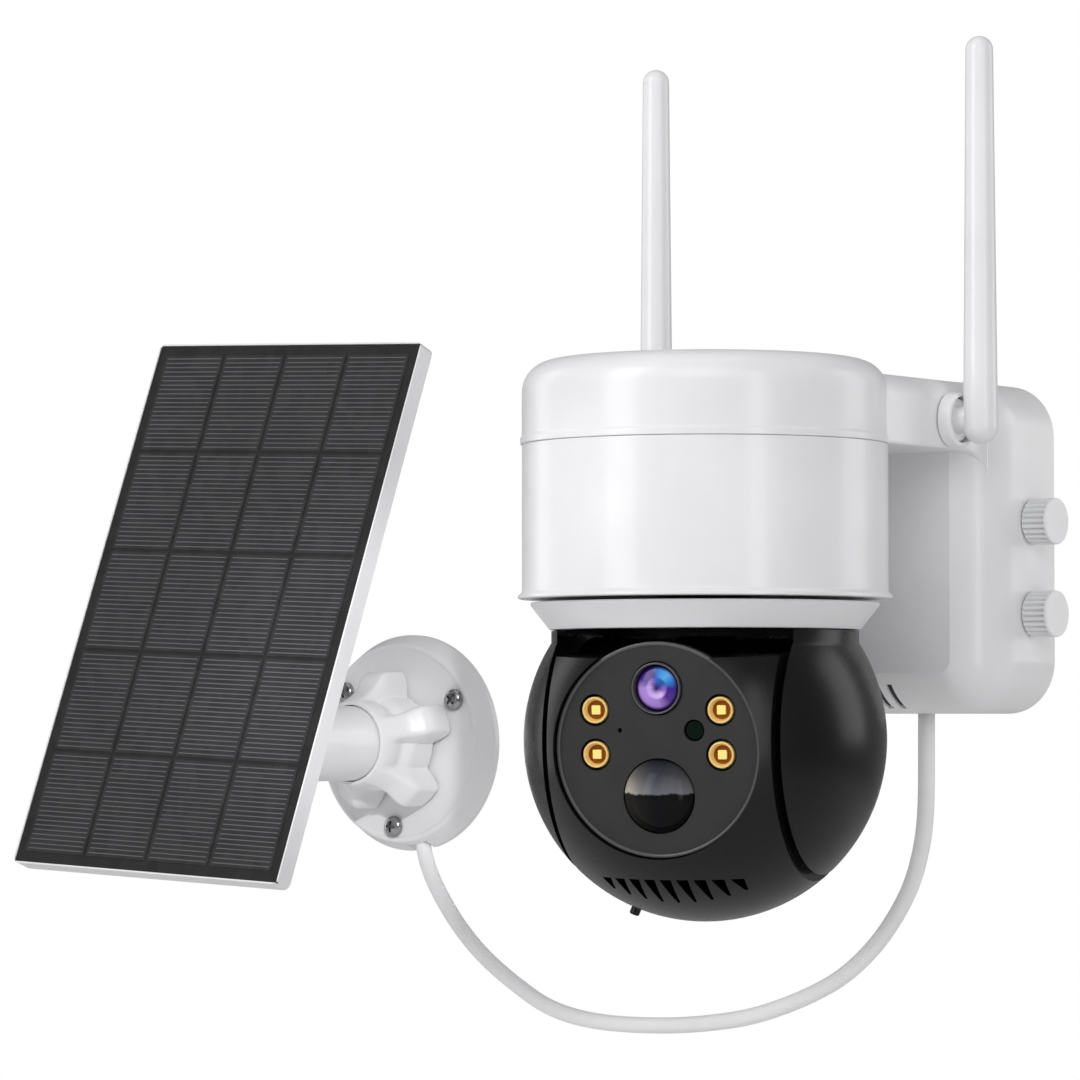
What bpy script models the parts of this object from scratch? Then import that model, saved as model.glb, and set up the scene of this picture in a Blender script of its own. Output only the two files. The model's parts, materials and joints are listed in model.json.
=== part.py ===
"""Solar-powered pan-and-tilt security camera with its wall box and its panel on a wall bracket.

World frame: origin at the middle of the camera's wall plate, on the wall. +Y goes into the wall,
+Z is up and +X is to the right for someone facing the wall. Sizes below are in millimetres and
are scaled to metres as each mesh is made.
"""

import math

import bmesh
import bpy
from mathutils import Matrix, Vector

MM = 0.001
GAP = 0.3
WELD = 1e-4

# Head
BALL_RADIUS = 46.0
BALL_DROP = 50.0
PAN_AXIS_OUT = 95.0
PAN_REST = 15.6
TILT_REST = 3.9
EAR_INNER = 31.2
EAR_RECESS = 28.6
HEAD_HALF_WIDTH = 29.3
HEAD_WALL = 2.2
HEAD_TOP = 22.7
HEAD_REAR = 26.2
HEAD_SPLIT = 8.0
SLOT_ROOF = 27.0
NECK_RADIUS = 39.0
PLATE_RADIUS = 26.7
PLATE_FRONT = 35.7
PLATE_THICKNESS = 2.4
PLATE_BACK = PLATE_FRONT - PLATE_THICKNESS
LENS_UP = 15.2
LENS_RADIUS = 6.0
LED_SIDE = 16.4
LED_HEIGHTS = (9.8, -1.2)
LED_RADIUS = 3.5
PIR_DOWN = 11.4
PIR_RADIUS = 9.0
SENSOR_SIDE = 9.5
SENSOR_UP = 4.8
AXLE_RADIUS = 3.5
BUTTON_ROUND = -71.0
BUTTON_SIDE = 18.3
BUTTON_DOWN = 42.2
VENT_PITCH = 4.3
VENT_TOP = -32.4
VENT_BOTTOM = -38.8
VENT_RISE = 0.2

# Housing
DRUM_BOTTOM = 35.5
SEAM = 74.7
CAP_TOP = 96.0
CAP_RADIUS = 46.9
DRUM_RADIUS = 47.5
SHELL_WALL = 2.5
COLLAR_BOTTOM = 27.7
COLLAR_TOP = 34.6
COLLAR_LOW_RADIUS = 39.4
COLLAR_HIGH_RADIUS = 44.5
SHAFT_RADIUS = 12.0
SHAFT_TOP = 46.6
SHAFT_BORE = 8.0
DISC_RADIUS = 35.6
ARM_HALF_WIDTH = 42.1
BOX_HALF_WIDTH = 46.7
BOX_HALF_HEIGHT = 43.5
BOX_DEPTH = 35.8
BOX_CORNER = 14.0
BOX_EDGE = 10.7
BOX_EDGE_STEPS = 3
WALL_HOLES_X = (-30.0, 30.0)
WALL_HOLES_Z = (-28.0, 28.0)
SOUND_SLOT_PITCH = 4.0
CELL_RADIUS = 9.15
CELL_HALF_LENGTH = 32.5
CELL_PITCH = 19.0
CELL_OUT = 15.4

# Antennas and thumb screws
ANTENNA_SIDE = 51.4
ANTENNA_OUT = 44.6
ANTENNA_UP = 32.0
ANTENNA_TIP = 130.6
SOCKET_RADIUS = 7.0
SCREW_OUT = 12.2
SCREW_HEIGHTS = (6.8, -17.4)
SCREW_RADIUS = 6.1
SCREW_LENGTH = 7.5
SCREW_RIBS = 14

# Gears: a pitch radius is half the module times the number of teeth
PAN_MODULE = 1.4
PAN_GEAR_TEETH = 24
PAN_PINION_TEETH = 8
TILT_MODULE = 1.0
TILT_GEAR_TEETH = 24
TILT_PINION_TEETH = 8
TILT_PINION_DOWN = 35.0

# Panel and its bracket
BASE_X = -170.0
BASE_Z = -52.0
BASE_RADIUS = 31.5
BASE_THICKNESS = 8.0
BASE_SCREW_RING = 24.4
BASE_SCREW_ANGLES = (31.0, 143.0, 267.0)
TUBE_RADIUS = 10.75
KNOB_FRONT = 29.5
KNOB_RADIUS = 20.8
KNOB_LOBE = 20.5
HINGE_OUT = 79.0
EYE_RADIUS = 7.5
BOLT_BORE = 2.7
NUT_RADIUS = 6.2
ARM_ROLL = 2.4
PANEL_LEAN = 20.1
PANEL_WIDTH = 97.0
PANEL_HEIGHT = 158.3
PANEL_THICKNESS = 5.5
PANEL_BACK = 13.8
PANEL_RISE = 34.6
PANEL_SHIFT = -4.2
PANEL_BORDER = 1.3

# Cable, from the box's underside to the back of the panel's base
CABLE_RADIUS = 2.25
CABLE_ROUTE = (
    (14.6, -13.0, -42.0),
    (14.6, -13.0, -48.0),
    (13.9, -12.5, -70.0),
    (11.2, -12.0, -83.2),
    (6.3, -11.5, -93.7),
    (-2.0, -11.0, -104.5),
    (-12.6, -10.5, -113.5),
    (-24.5, -10.0, -119.7),
    (-40.1, -9.5, -125.2),
    (-54.7, -9.0, -128.2),
    (-74.3, -8.5, -130.1),
    (-96.7, -8.0, -130.0),
    (-113.4, -7.5, -127.1),
    (-126.4, -7.0, -121.1),
    (-139.1, -6.5, -113.0),
    (-148.6, -6.0, -104.5),
    (-156.3, -5.2, -95.4),
    (-161.4, -4.2, -87.6),
    (-164.2, -3.0, -80.8),
    (-164.8, -2.6, -74.0),
)


# ---------------------------------------------------------------- helpers


def clear_scene():
    for obj in list(bpy.data.objects):
        bpy.data.objects.remove(obj, do_unlink=True)


def material(name, colour, roughness, metallic=0.0):
    made = bpy.data.materials.new(name)
    made.use_nodes = True
    shader = made.node_tree.nodes["Principled BSDF"]
    shader.inputs["Base Color"].default_value = (*colour, 1.0)
    shader.inputs["Roughness"].default_value = roughness
    shader.inputs["Metallic"].default_value = metallic
    made.diffuse_color = (*colour, 1.0)
    return made


def empty(name, parent=None, at=(0.0, 0.0, 0.0), turn=(0.0, 0.0, 0.0)):
    made = bpy.data.objects.new(name, None)
    bpy.context.scene.collection.objects.link(made)
    made.location = Vector(at) * MM
    made.rotation_euler = [math.radians(angle) for angle in turn]
    made.parent = parent
    return made


def finish(mesh_data, name, look=None, parent=None, at=(0.0, 0.0, 0.0), turn=(0.0, 0.0, 0.0)):
    """Turns a bmesh in millimetres into an object in metres."""
    bmesh.ops.remove_doubles(mesh_data, verts=mesh_data.verts, dist=WELD)
    bmesh.ops.recalc_face_normals(mesh_data, faces=mesh_data.faces)
    bmesh.ops.scale(mesh_data, vec=(MM, MM, MM), verts=mesh_data.verts)
    mesh = bpy.data.meshes.new(name)
    mesh_data.to_mesh(mesh)
    mesh_data.free()
    mesh.shade_smooth()
    mesh.set_sharp_from_angle(angle=math.radians(35))
    made = bpy.data.objects.new(name, mesh)
    bpy.context.scene.collection.objects.link(made)
    made.location = Vector(at) * MM
    made.rotation_euler = [math.radians(angle) for angle in turn]
    made.parent = parent
    if look:
        mesh.materials.append(look)
    return made


AXES = {
    "Z": Matrix.Identity(4),
    "X": Matrix.Rotation(math.radians(90), 4, "Y"),
    "-Y": Matrix.Rotation(math.radians(90), 4, "X"),
}


def turned(name, profile, steps=24, axis="Z", centre=(0.0, 0.0, 0.0), **place):
    """A solid of revolution: profile is (radius, height) points, closed on itself or on the axis."""
    shape = bmesh.new()
    corners = [shape.verts.new((radius, 0.0, height)) for radius, height in profile]
    edges = [shape.edges.new(pair) for pair in zip(corners, corners[1:])]
    if profile[0][0] > 0.0 or profile[-1][0] > 0.0:
        edges.append(shape.edges.new((corners[-1], corners[0])))
    bmesh.ops.spin(
        shape,
        geom=corners + edges,
        cent=(0.0, 0.0, 0.0),
        axis=(0.0, 0.0, 1.0),
        angle=math.tau,
        steps=steps,
        use_merge=True,
    )
    bmesh.ops.remove_doubles(shape, verts=shape.verts, dist=WELD)
    shape.normal_update()
    hubs = [corner for corner in shape.verts if is_flat_hub(corner)]
    bmesh.ops.dissolve_verts(shape, verts=hubs)
    bmesh.ops.transform(shape, matrix=Matrix.Translation(centre) @ AXES[axis], verts=shape.verts)
    return finish(shape, name, **place)


def is_flat_hub(corner):
    """True for the middle of a flat end, whose fan of triangles is better as one face."""
    on_axis = math.hypot(corner.co.x, corner.co.y) < WELD
    return on_axis and all(abs(face.normal.z) > 0.9999 for face in corner.link_faces)


def push(shape, points, by):
    """Adds a face through the points to the bmesh and extrudes it by a vector."""
    face = shape.faces.new([shape.verts.new(point) for point in points])
    raised = bmesh.ops.extrude_face_region(shape, geom=[face])["geom"]
    moved = [item for item in raised if isinstance(item, bmesh.types.BMVert)]
    bmesh.ops.translate(shape, vec=by, verts=moved)


def extruded(name, outline, low, high, axis="Z", centre=(0.0, 0.0, 0.0), **place):
    """A prism: outline is (x, y) points, and low and high are its ends along its axis."""
    shape = bmesh.new()
    push(shape, [(x, y, low) for x, y in outline], (0.0, 0.0, high - low))
    bmesh.ops.transform(shape, matrix=Matrix.Translation(centre) @ AXES[axis], verts=shape.verts)
    return finish(shape, name, **place)


def side_prism(name, side, low, high, **place):
    """A prism along X: side is its (y, z) points, and low and high are its ends."""
    shape = bmesh.new()
    push(shape, [(low, y, z) for y, z in side], (high - low, 0.0, 0.0))
    return finish(shape, name, **place)


def lofted(name, rings, **place):
    """A solid through rings of points, each ring with the same number of them."""
    shape = bmesh.new()
    loops = [[shape.verts.new(point) for point in ring] for ring in rings]
    count = len(loops[0])
    for first, second in zip(loops, loops[1:]):
        for i in range(count):
            after = (i + 1) % count
            shape.faces.new((first[i], first[after], second[after], second[i]))
    shape.faces.new(loops[0])
    shape.faces.new(loops[-1])
    return finish(shape, name, **place)


def block(name, size, centre=(0.0, 0.0, 0.0), edge=0.0, **place):
    """A box with its edges bevelled."""
    shape = bmesh.new()
    bmesh.ops.create_cube(shape, size=1.0)
    bmesh.ops.scale(shape, vec=size, verts=shape.verts)
    if edge:
        bmesh.ops.bevel(
            shape, geom=shape.edges[:], offset=edge, segments=2, profile=0.5, affect="EDGES"
        )
    bmesh.ops.translate(shape, vec=centre, verts=shape.verts)
    return finish(shape, name, **place)


def cylinder(name, radius, low, high, steps=16, axis="Z", centre=(0.0, 0.0, 0.0), **place):
    profile = ((0.0, low), (radius, low), (radius, high), (0.0, high))
    return turned(name, profile, steps, axis, centre, **place)


def weld(mesh):
    """Closes the hair-thin gaps that a Boolean can leave. The mesh is in metres."""
    shape = bmesh.new()
    shape.from_mesh(mesh)
    bmesh.ops.remove_doubles(shape, verts=shape.verts, dist=10 * WELD * MM)
    bmesh.ops.dissolve_degenerate(shape, edges=shape.edges, dist=WELD * MM)
    shape.to_mesh(mesh)
    shape.free()


def combine(target, others, operation):
    """Applies one Boolean after another to target, and removes the other objects."""
    for other in others:
        modifier = target.modifiers.new("combine", "BOOLEAN")
        modifier.operation = operation
        modifier.solver = "EXACT"
        modifier.object = other
        bpy.context.view_layer.update()
        graph = bpy.context.evaluated_depsgraph_get()
        result = bpy.data.meshes.new_from_object(target.evaluated_get(graph))
        weld(result)
        target.modifiers.clear()
        old = target.data
        target.data = result
        bpy.data.meshes.remove(old)
        result.name = target.name
        used = other.data
        bpy.data.objects.remove(other, do_unlink=True)
        bpy.data.meshes.remove(used)
    target.data.shade_smooth()
    target.data.set_sharp_from_angle(angle=math.radians(35))
    return target


def cut(target, *cutters):
    return combine(target, cutters, "DIFFERENCE")


def join(target, *others):
    return combine(target, others, "UNION")


def keep(target, *others):
    return combine(target, others, "INTERSECT")


def arc(centre, radius, start, end, steps):
    """Points of an arc, angles in degrees."""
    points = []
    for i in range(steps + 1):
        angle = math.radians(start + (end - start) * i / steps)
        points.append(
            (centre[0] + radius * math.cos(angle), centre[1] + radius * math.sin(angle))
        )
    return points


def rounded_rectangle(half_width, half_height, radius, steps=6):
    points = []
    for quarter, (side, rise) in enumerate(((1, 1), (-1, 1), (-1, -1), (1, -1))):
        centre = (side * (half_width - radius), rise * (half_height - radius))
        points += arc(centre, radius, 90 * quarter, 90 * quarter + 90, steps)
    return points


def gear_outline(module, teeth, first_tooth):
    """Outline of a gear with one tooth centred at the angle first_tooth, in degrees."""
    tip = 0.8 * module
    root = 1.1 * module
    pitch = 360.0 / teeth
    radius = module * teeth / 2
    points = []
    for i in range(teeth):
        middle = first_tooth + pitch * i
        for offset, out in ((-0.30, -root), (-0.11, tip), (0.11, tip), (0.30, -root)):
            angle = math.radians(middle + offset * pitch)
            points.append(((radius + out) * math.cos(angle), (radius + out) * math.sin(angle)))
    return points


# ---------------------------------------------------------------- camera housing


def box_solid(name, inset, back, front, edge):
    """The wall box as a solid, its front edge rounded over."""
    levels = [(0.0, back)]
    for i in range(BOX_EDGE_STEPS + 1):
        angle = math.radians(90 * i / BOX_EDGE_STEPS)
        levels.append((edge * (1 - math.cos(angle)), front + edge * (1 - math.sin(angle))))
    rings = []
    for shrink, y in levels:
        outline = rounded_rectangle(
            BOX_HALF_WIDTH - inset - shrink,
            BOX_HALF_HEIGHT - inset - shrink,
            max(BOX_CORNER - inset - shrink, 2.0),
            4,
        )
        rings.append([(x, y, z) for x, z in outline])
    return lofted(name, rings)


def arm_solid(name, half_width, low, high, inset):
    """The arm from the cap back to the wall box, flared where it meets the box."""
    near = -BOX_DEPTH + 4.0
    start = -BOX_DEPTH - 2.0
    plan = [(half_width, -PAN_AXIS_OUT + inset), (half_width, start)]
    plan += [(half_width + 0.8, -BOX_DEPTH + 1.0), (half_width + 2.0, near)]
    plan += [(-half_width - 2.0, near), (-half_width - 0.8, -BOX_DEPTH + 1.0)]
    plan += [(-half_width, start), (-half_width, -PAN_AXIS_OUT + inset)]
    solid = extruded(name, plan, low - 12.0, high)
    side = [(-PAN_AXIS_OUT - 5.0, low), (start - 2.0, low)]
    side += arc((start - 2.0, low - 6.0), 6.0, 90, 20, 3)[1:]
    side += [(near, low - 6.0), (near + 2.0, high + 1.0), (-PAN_AXIS_OUT - 5.0, high + 1.0)]
    return keep(solid, side_prism("arm_side", side, -60.0, 60.0))


def main_housing(white):
    seam = SEAM - BALL_DROP
    top = CAP_TOP - BALL_DROP
    pan = (0.0, -PAN_AXIS_OUT, 0.0)
    round_edge = 8.0
    profile = [(0.0, seam), (CAP_RADIUS - 0.5, seam), (CAP_RADIUS - 0.5, seam + 1.0)]
    profile += arc((CAP_RADIUS - 0.6 - round_edge, top - round_edge), round_edge, 0, 90, 4)
    profile += [(0.0, top)]
    body = box_solid("main_housing", 0.0, -0.5, -BOX_DEPTH, BOX_EDGE)
    body.data.materials.append(white)
    arm = arm_solid("arm", ARM_HALF_WIDTH, seam, BOX_HALF_HEIGHT - 0.6, 12.0)
    join(body, arm, turned("cap", profile, 36, centre=pan))
    inner = CAP_RADIUS - 3.2
    hollow = [(0.0, seam - 1.0), (inner, seam - 1.0), (inner, top - 8.0)]
    hollow += [(CAP_RADIUS - 8.0, top - 2.6), (0.0, top - 2.6)]
    inside_arm = block("inside_arm", (2 * ARM_HALF_WIDTH - 6.0, 55.0, 12.5), (0, -55.0, seam + 9.4))
    inside_box = box_solid("inside_box", SHELL_WALL, 1.0, -BOX_DEPTH + SHELL_WALL, BOX_EDGE - 2.5)
    cut(body, inside_box, inside_arm, turned("inside_cap", hollow, 24, centre=pan))
    for side in (-1, 1):
        at = (side * ARM_HALF_WIDTH, -ANTENNA_OUT, ANTENNA_UP)
        cut(body, cylinder("bore", 4.4, -6.0, 6.0, 16, "X", at))
    for height in SCREW_HEIGHTS:
        cut(body, cylinder("bore", 2.3, -6.0, 6.0, 12, "X", (BOX_HALF_WIDTH, -SCREW_OUT, height)))
    x, y, _ = CABLE_ROUTE[0]
    cut(body, cylinder("bore", 4.4, -6.0, 6.0, 16, "Z", (x, y, -BOX_HALF_HEIGHT)))
    for i in range(-3, 5):
        at = (SOUND_SLOT_PITCH * i, -30.0, -BOX_HALF_HEIGHT)
        cut(body, block("slot", (1.9, 8.0, 16.0), at))
    return body


def drum_barrel(white):
    low = DRUM_BOTTOM - BALL_DROP
    seam = SEAM - BALL_DROP - GAP
    profile = [
        (18.4, low + 0.8),
        (DRUM_RADIUS - 1.2, low),
        (DRUM_RADIUS, low + 0.3),
        (DRUM_RADIUS, low + 1.6),
        (CAP_RADIUS, seam),
        (CAP_RADIUS - 2.3, seam),
        (CAP_RADIUS - 2.3, low + 3.2),
        (18.4, low + 3.2),
    ]
    return turned("drum_barrel", profile, 36, centre=(0.0, -PAN_AXIS_OUT, 0.0), look=white)


def wall_plate(steel):
    outline = rounded_rectangle(43.2, 40.6, 11.0, 4)
    plate = extruded("wall_plate", outline, 0.0, 2.6, "-Y", look=steel)
    tab = block("tab", (1.8, 18.0, 46.0), (42.3, -11.0, -5.0))
    join(plate, tab)
    for height in SCREW_HEIGHTS:
        cut(plate, cylinder("bore", 2.3, -4.0, 4.0, 12, "X", (42.3, -SCREW_OUT, height)))
    for x in WALL_HOLES_X:
        for z in WALL_HOLES_Z:
            cut(plate, cylinder("bore", 2.4, -2.0, 5.0, 12, "-Y", (x, 0.0, z)))
    return plate


def rear_cover(grey):
    outline = rounded_rectangle(40.6, 40.2, 10.0, 4)
    cover = extruded("rear_cover", outline, 3.0, 5.2, "-Y", look=grey)
    notch_at = (CABLE_ROUTE[0][0], -4.0, -41.0)
    return cut(cover, block("notch", (10.0, 8.0, 8.0), notch_at))


def battery_cells(blue):
    """Four cells side by side, each with the small cap of its positive end at the top."""
    shoulder = CELL_HALF_LENGTH - 1.3
    profile = [
        (0.0, -CELL_HALF_LENGTH),
        (CELL_RADIUS, -CELL_HALF_LENGTH),
        (CELL_RADIUS, shoulder),
        (4.0, shoulder),
        (4.0, CELL_HALF_LENGTH),
        (0.0, CELL_HALF_LENGTH),
    ]
    for number in range(4):
        at = (CELL_PITCH * (number - 1.5) - 0.1, -CELL_OUT, 6.6)
        turned(f"battery_cell_{number + 1}", profile, 12, look=blue, at=at)


def box_inside(green, black):
    block("charge_board", (62.0, 1.6, 54.0), (0.0, -29.0, 6.0), look=green)
    speaker = [(0.0, 0.0), (6.0, 0.0), (6.0, 1.4), (11.0, 3.4), (11.0, 5.4), (0.0, 5.4)]
    turned("speaker", speaker, 18, look=black, at=(-6.0, -17.0, -40.4))
    x, y, _ = CABLE_ROUTE[0]
    ring = [(2.75, -2.4), (4.0, -2.4), (4.0, 0.4), (5.6, 0.4), (5.6, 1.6), (2.75, 1.6)]
    turned("cable_grommet", ring, 14, look=black, at=(x, y, -40.7 + GAP))


def drum_inside(green, steel, plastic, brass):
    floor = DRUM_BOTTOM - BALL_DROP + 3.2
    pan = (0.0, -PAN_AXIS_OUT, 0.0)
    ring = [
        (SHAFT_RADIUS + 0.35, floor - 3.0),
        (18.0, floor - 3.0),
        (18.0, floor + GAP),
        (21.0, floor + GAP),
        (21.0, floor + 2.6),
        (SHAFT_RADIUS + 0.35, floor + 2.6),
    ]
    turned("pan_bearing", ring, 24, centre=pan, look=steel)
    plate = turned(
        "chassis_plate",
        [(6.0, floor + 8.2), (43.6, floor + 8.2), (43.6, floor + 10.2), (6.0, floor + 10.2)],
        32,
        centre=pan,
        look=plastic,
    )
    distance = PAN_MODULE * (PAN_GEAR_TEETH + PAN_PINION_TEETH) / 2
    motor_at = (distance, -PAN_AXIS_OUT, 0.0)
    cut(plate, cylinder("bore", 2.6, floor + 5.0, floor + 14.0, 12, centre=motor_at))
    motor = [
        (0.0, floor + 3.0),
        (1.4, floor + 3.0),
        (1.4, floor + 10.5),
        (14.0, floor + 10.5),
        (14.0, floor + 24.0),
        (0.0, floor + 24.0),
    ]
    turned("pan_motor", motor, 20, centre=motor_at, look=steel)
    axis = empty("pan_pinion_axis", at=(distance, -PAN_AXIS_OUT, floor + 3.6))
    outline = gear_outline(PAN_MODULE, PAN_PINION_TEETH, 180.0 + 180.0 / PAN_PINION_TEETH)
    pinion = extruded("pan_pinion", outline, 0.0, 4.0, look=brass, parent=axis)
    cut(pinion, cylinder("bore", 1.75, -1.0, 6.0, 12, parent=axis))
    cylinder("main_board", 40.0, floor + 28.0, floor + 29.6, 28, centre=pan, look=green)


def antennas(white):
    for word, side in (("left", -1), ("right", 1)):
        axis = empty(f"antenna_axis_{word}", at=(0.0, -ANTENNA_OUT, ANTENNA_UP))
        face = ANTENNA_SIDE - 5.2
        wall = ARM_HALF_WIDTH + GAP
        socket = [
            (0.0, ARM_HALF_WIDTH - 4.0),
            (4.0, ARM_HALF_WIDTH - 4.0),
            (4.0, wall),
            (SOCKET_RADIUS + 0.2, wall),
            (SOCKET_RADIUS, face - 0.6),
            (SOCKET_RADIUS - 0.5, face),
            (6.1, face),
            (6.1, face - 1.8),
            (0.0, face - 1.8),
        ]
        flip = (0.0, 0.0, 0.0) if side > 0 else (0.0, 0.0, 180.0)
        turned(f"antenna_socket_{word}", socket, 18, "X", look=white, parent=axis, turn=flip)
        low = 2.4
        tip = ANTENNA_TIP - ANTENNA_UP
        rod = [(0.0, -low - 4.15)]
        rod += [(4.15 * math.cos(a), -low - 4.15 * math.sin(a)) for a in (1.0, 0.5)]
        rod += [(4.15, -low), (3.6, tip - 3.6)]
        rod += [(3.6 * math.cos(a), tip - 3.6 + 3.6 * math.sin(a)) for a in (0.5, 1.0)]
        rod += [(0.0, tip)]
        middle = (side * ANTENNA_SIDE, 0.0, 0.0)
        antenna = turned(f"antenna_{word}", rod, 12, centre=middle, look=white, parent=axis)
        ends = sorted((side * (face - 1.5), side * (face + 1.2)))
        knuckle = cylinder("knuckle", 5.6, *ends, 16, "X", parent=axis)
        neck_at = (side * (ANTENNA_SIDE - 2.4), 0.0, 0.6)
        neck = block("neck", (4.4, 8.0, 11.0), neck_at, parent=axis)
        join(antenna, knuckle, neck)


def thumb_screws(white):
    for word, height in zip(("upper", "lower"), SCREW_HEIGHTS):
        start = BOX_HALF_WIDTH + GAP
        axis = empty(f"thumb_screw_axis_{word}", at=(start, -SCREW_OUT, height))
        outline = []
        for i in range(2 * SCREW_RIBS):
            radius = SCREW_RADIUS - (0.35 if i % 2 else 0.0)
            angle = math.tau * i / (2 * SCREW_RIBS)
            outline.append((radius * math.cos(angle), radius * math.sin(angle)))
        name = f"thumb_screw_{word}"
        head = extruded(name, outline, 0.0, SCREW_LENGTH, "X", look=white, parent=axis)
        shank = cylinder("shank", 1.9, -6.4, 1.0, 12, "X", parent=axis)
        join(head, shank)


# ---------------------------------------------------------------- pan and tilt head


def ball_profile(radius, low, high, steps=14):
    start = math.asin(max(low / radius, -1.0))
    end = math.asin(high / radius)
    points = []
    for i in range(steps + 1):
        angle = start + (end - start) * i / steps
        points.append((max(radius * math.cos(angle), 0.0), radius * math.sin(angle)))
    return points


def collar(grey, parent):
    profile = [
        (36.0, COLLAR_BOTTOM),
        (COLLAR_LOW_RADIUS, COLLAR_BOTTOM),
        (COLLAR_HIGH_RADIUS, COLLAR_TOP - 0.8),
        (COLLAR_HIGH_RADIUS, COLLAR_TOP),
        (36.0, COLLAR_TOP),
    ]
    return turned("turntable_collar", profile, 36, look=grey, parent=parent)


def yoke(black, parent):
    """Top disc, hollow pan shaft and the two ears, which are caps of the ball."""
    top_of_ball = math.sqrt(BALL_RADIUS**2 - NECK_RADIUS**2)
    profile = ball_profile(BALL_RADIUS, -BALL_RADIUS, top_of_ball, 12)
    neck_top = COLLAR_BOTTOM - GAP
    roof = SLOT_ROOF - 0.5
    profile += [(NECK_RADIUS, neck_top), (DISC_RADIUS, neck_top)]
    profile += [(DISC_RADIUS, COLLAR_TOP), (SHAFT_RADIUS, COLLAR_TOP)]
    profile += [(SHAFT_RADIUS, SHAFT_TOP), (SHAFT_BORE, SHAFT_TOP), (SHAFT_BORE, roof), (0.0, roof)]
    body = turned("yoke", profile, 32, look=black, parent=parent)
    slot_height = SLOT_ROOF + BALL_RADIUS + 2.0
    slot_at = (0.0, 0.0, SLOT_ROOF - slot_height / 2)
    cut(body, block("slot", (2 * EAR_INNER, 110.0, slot_height), slot_at, parent=parent))
    floor = EAR_INNER + 2.0
    hollow = ball_profile(43.4, floor, 43.3, 4) + [(0.0, 43.3), (0.0, floor)]
    for flip in (0.0, 180.0):
        turn = (0.0, 0.0, flip)
        ends = (EAR_INNER - 1.0, EAR_INNER + 2.2)
        cut(body, cylinder("recess", EAR_RECESS, *ends, 24, "X", parent=parent, turn=turn))
        cut(body, turned("pocket", hollow, 16, "X", parent=parent, turn=turn))
    return body


def ear_plates(black, parent):
    for word, side in (("left", -1), ("right", 1)):
        flip = 0.0 if side > 0 else 180.0
        profile = [
            (AXLE_RADIUS + 0.3, EAR_INNER + 0.1),
            (28.2, EAR_INNER + 0.1),
            (28.2, EAR_INNER + 1.8),
            (AXLE_RADIUS + 0.3, EAR_INNER + 1.8),
        ]
        turn = (0.0, 0.0, flip)
        turned(f"ear_plate_{word}", profile, 24, "X", look=black, parent=parent, turn=turn)


def tilt_axles(steel, parent):
    """The pins that the head tilts on. The right one carries the fixed gear inside the head."""
    for word, side, inner in (("left", -1, 22.5), ("right", 1, 17.2)):
        flip = 0.0 if side > 0 else 180.0
        profile = [
            (0.0, inner),
            (AXLE_RADIUS, inner),
            (AXLE_RADIUS, EAR_INNER + 2.2),
            (6.0, EAR_INNER + 2.2),
            (6.0, EAR_INNER + 4.2),
            (0.0, EAR_INNER + 4.2),
        ]
        turn = (0.0, 0.0, flip)
        turned(f"tilt_axle_{word}", profile, 14, "X", look=steel, parent=parent, turn=turn)


def pan_gear(brass, parent, floor):
    outline = gear_outline(PAN_MODULE, PAN_GEAR_TEETH, -PAN_REST)
    gear = extruded("pan_gear", outline, floor + 3.6, floor + 7.6, look=brass, parent=parent)
    bore = cylinder("bore", SHAFT_RADIUS + GAP, floor + 2.0, floor + 9.0, 24, parent=parent)
    return cut(gear, bore)


def tilt_train(brass, steel, fixed, moving):
    """Fixed gear on the right axle, and the motor with its pinion in the head's lower rear."""
    distance = TILT_MODULE * (TILT_GEAR_TEETH + TILT_PINION_TEETH) / 2
    down = math.radians(TILT_PINION_DOWN)
    rear = distance * math.cos(down)
    drop = -distance * math.sin(down)
    # A prism along X has its outline's x pointing down and its y pointing to the rear
    direction = math.degrees(math.atan2(rear, -drop))
    outline = gear_outline(TILT_MODULE, TILT_GEAR_TEETH, direction + TILT_REST)
    gear = extruded("tilt_gear", outline, 18.2, 21.2, "X", look=brass, parent=fixed)
    cut(gear, cylinder("bore", AXLE_RADIUS + GAP, 16.0, 24.0, 16, "X", parent=fixed))
    axis = empty("tilt_pinion_axis", moving, (18.2, rear, drop))
    first = direction + 180.0 + 180.0 / TILT_PINION_TEETH
    outline = gear_outline(TILT_MODULE, TILT_PINION_TEETH, first)
    pinion = extruded("tilt_pinion", outline, 0.0, 3.0, "X", look=brass, parent=axis)
    cut(pinion, cylinder("bore", 1.3, -2.0, 5.0, 10, "X", parent=axis))
    motor = [
        (0.0, 0.0),
        (9.0, 0.0),
        (9.0, 14.0),
        (0.95, 14.0),
        (0.95, 18.5),
        (0.0, 18.5),
    ]
    turned("tilt_motor", motor, 18, "X", look=steel, parent=moving, at=(3.4, rear, drop))


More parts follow.
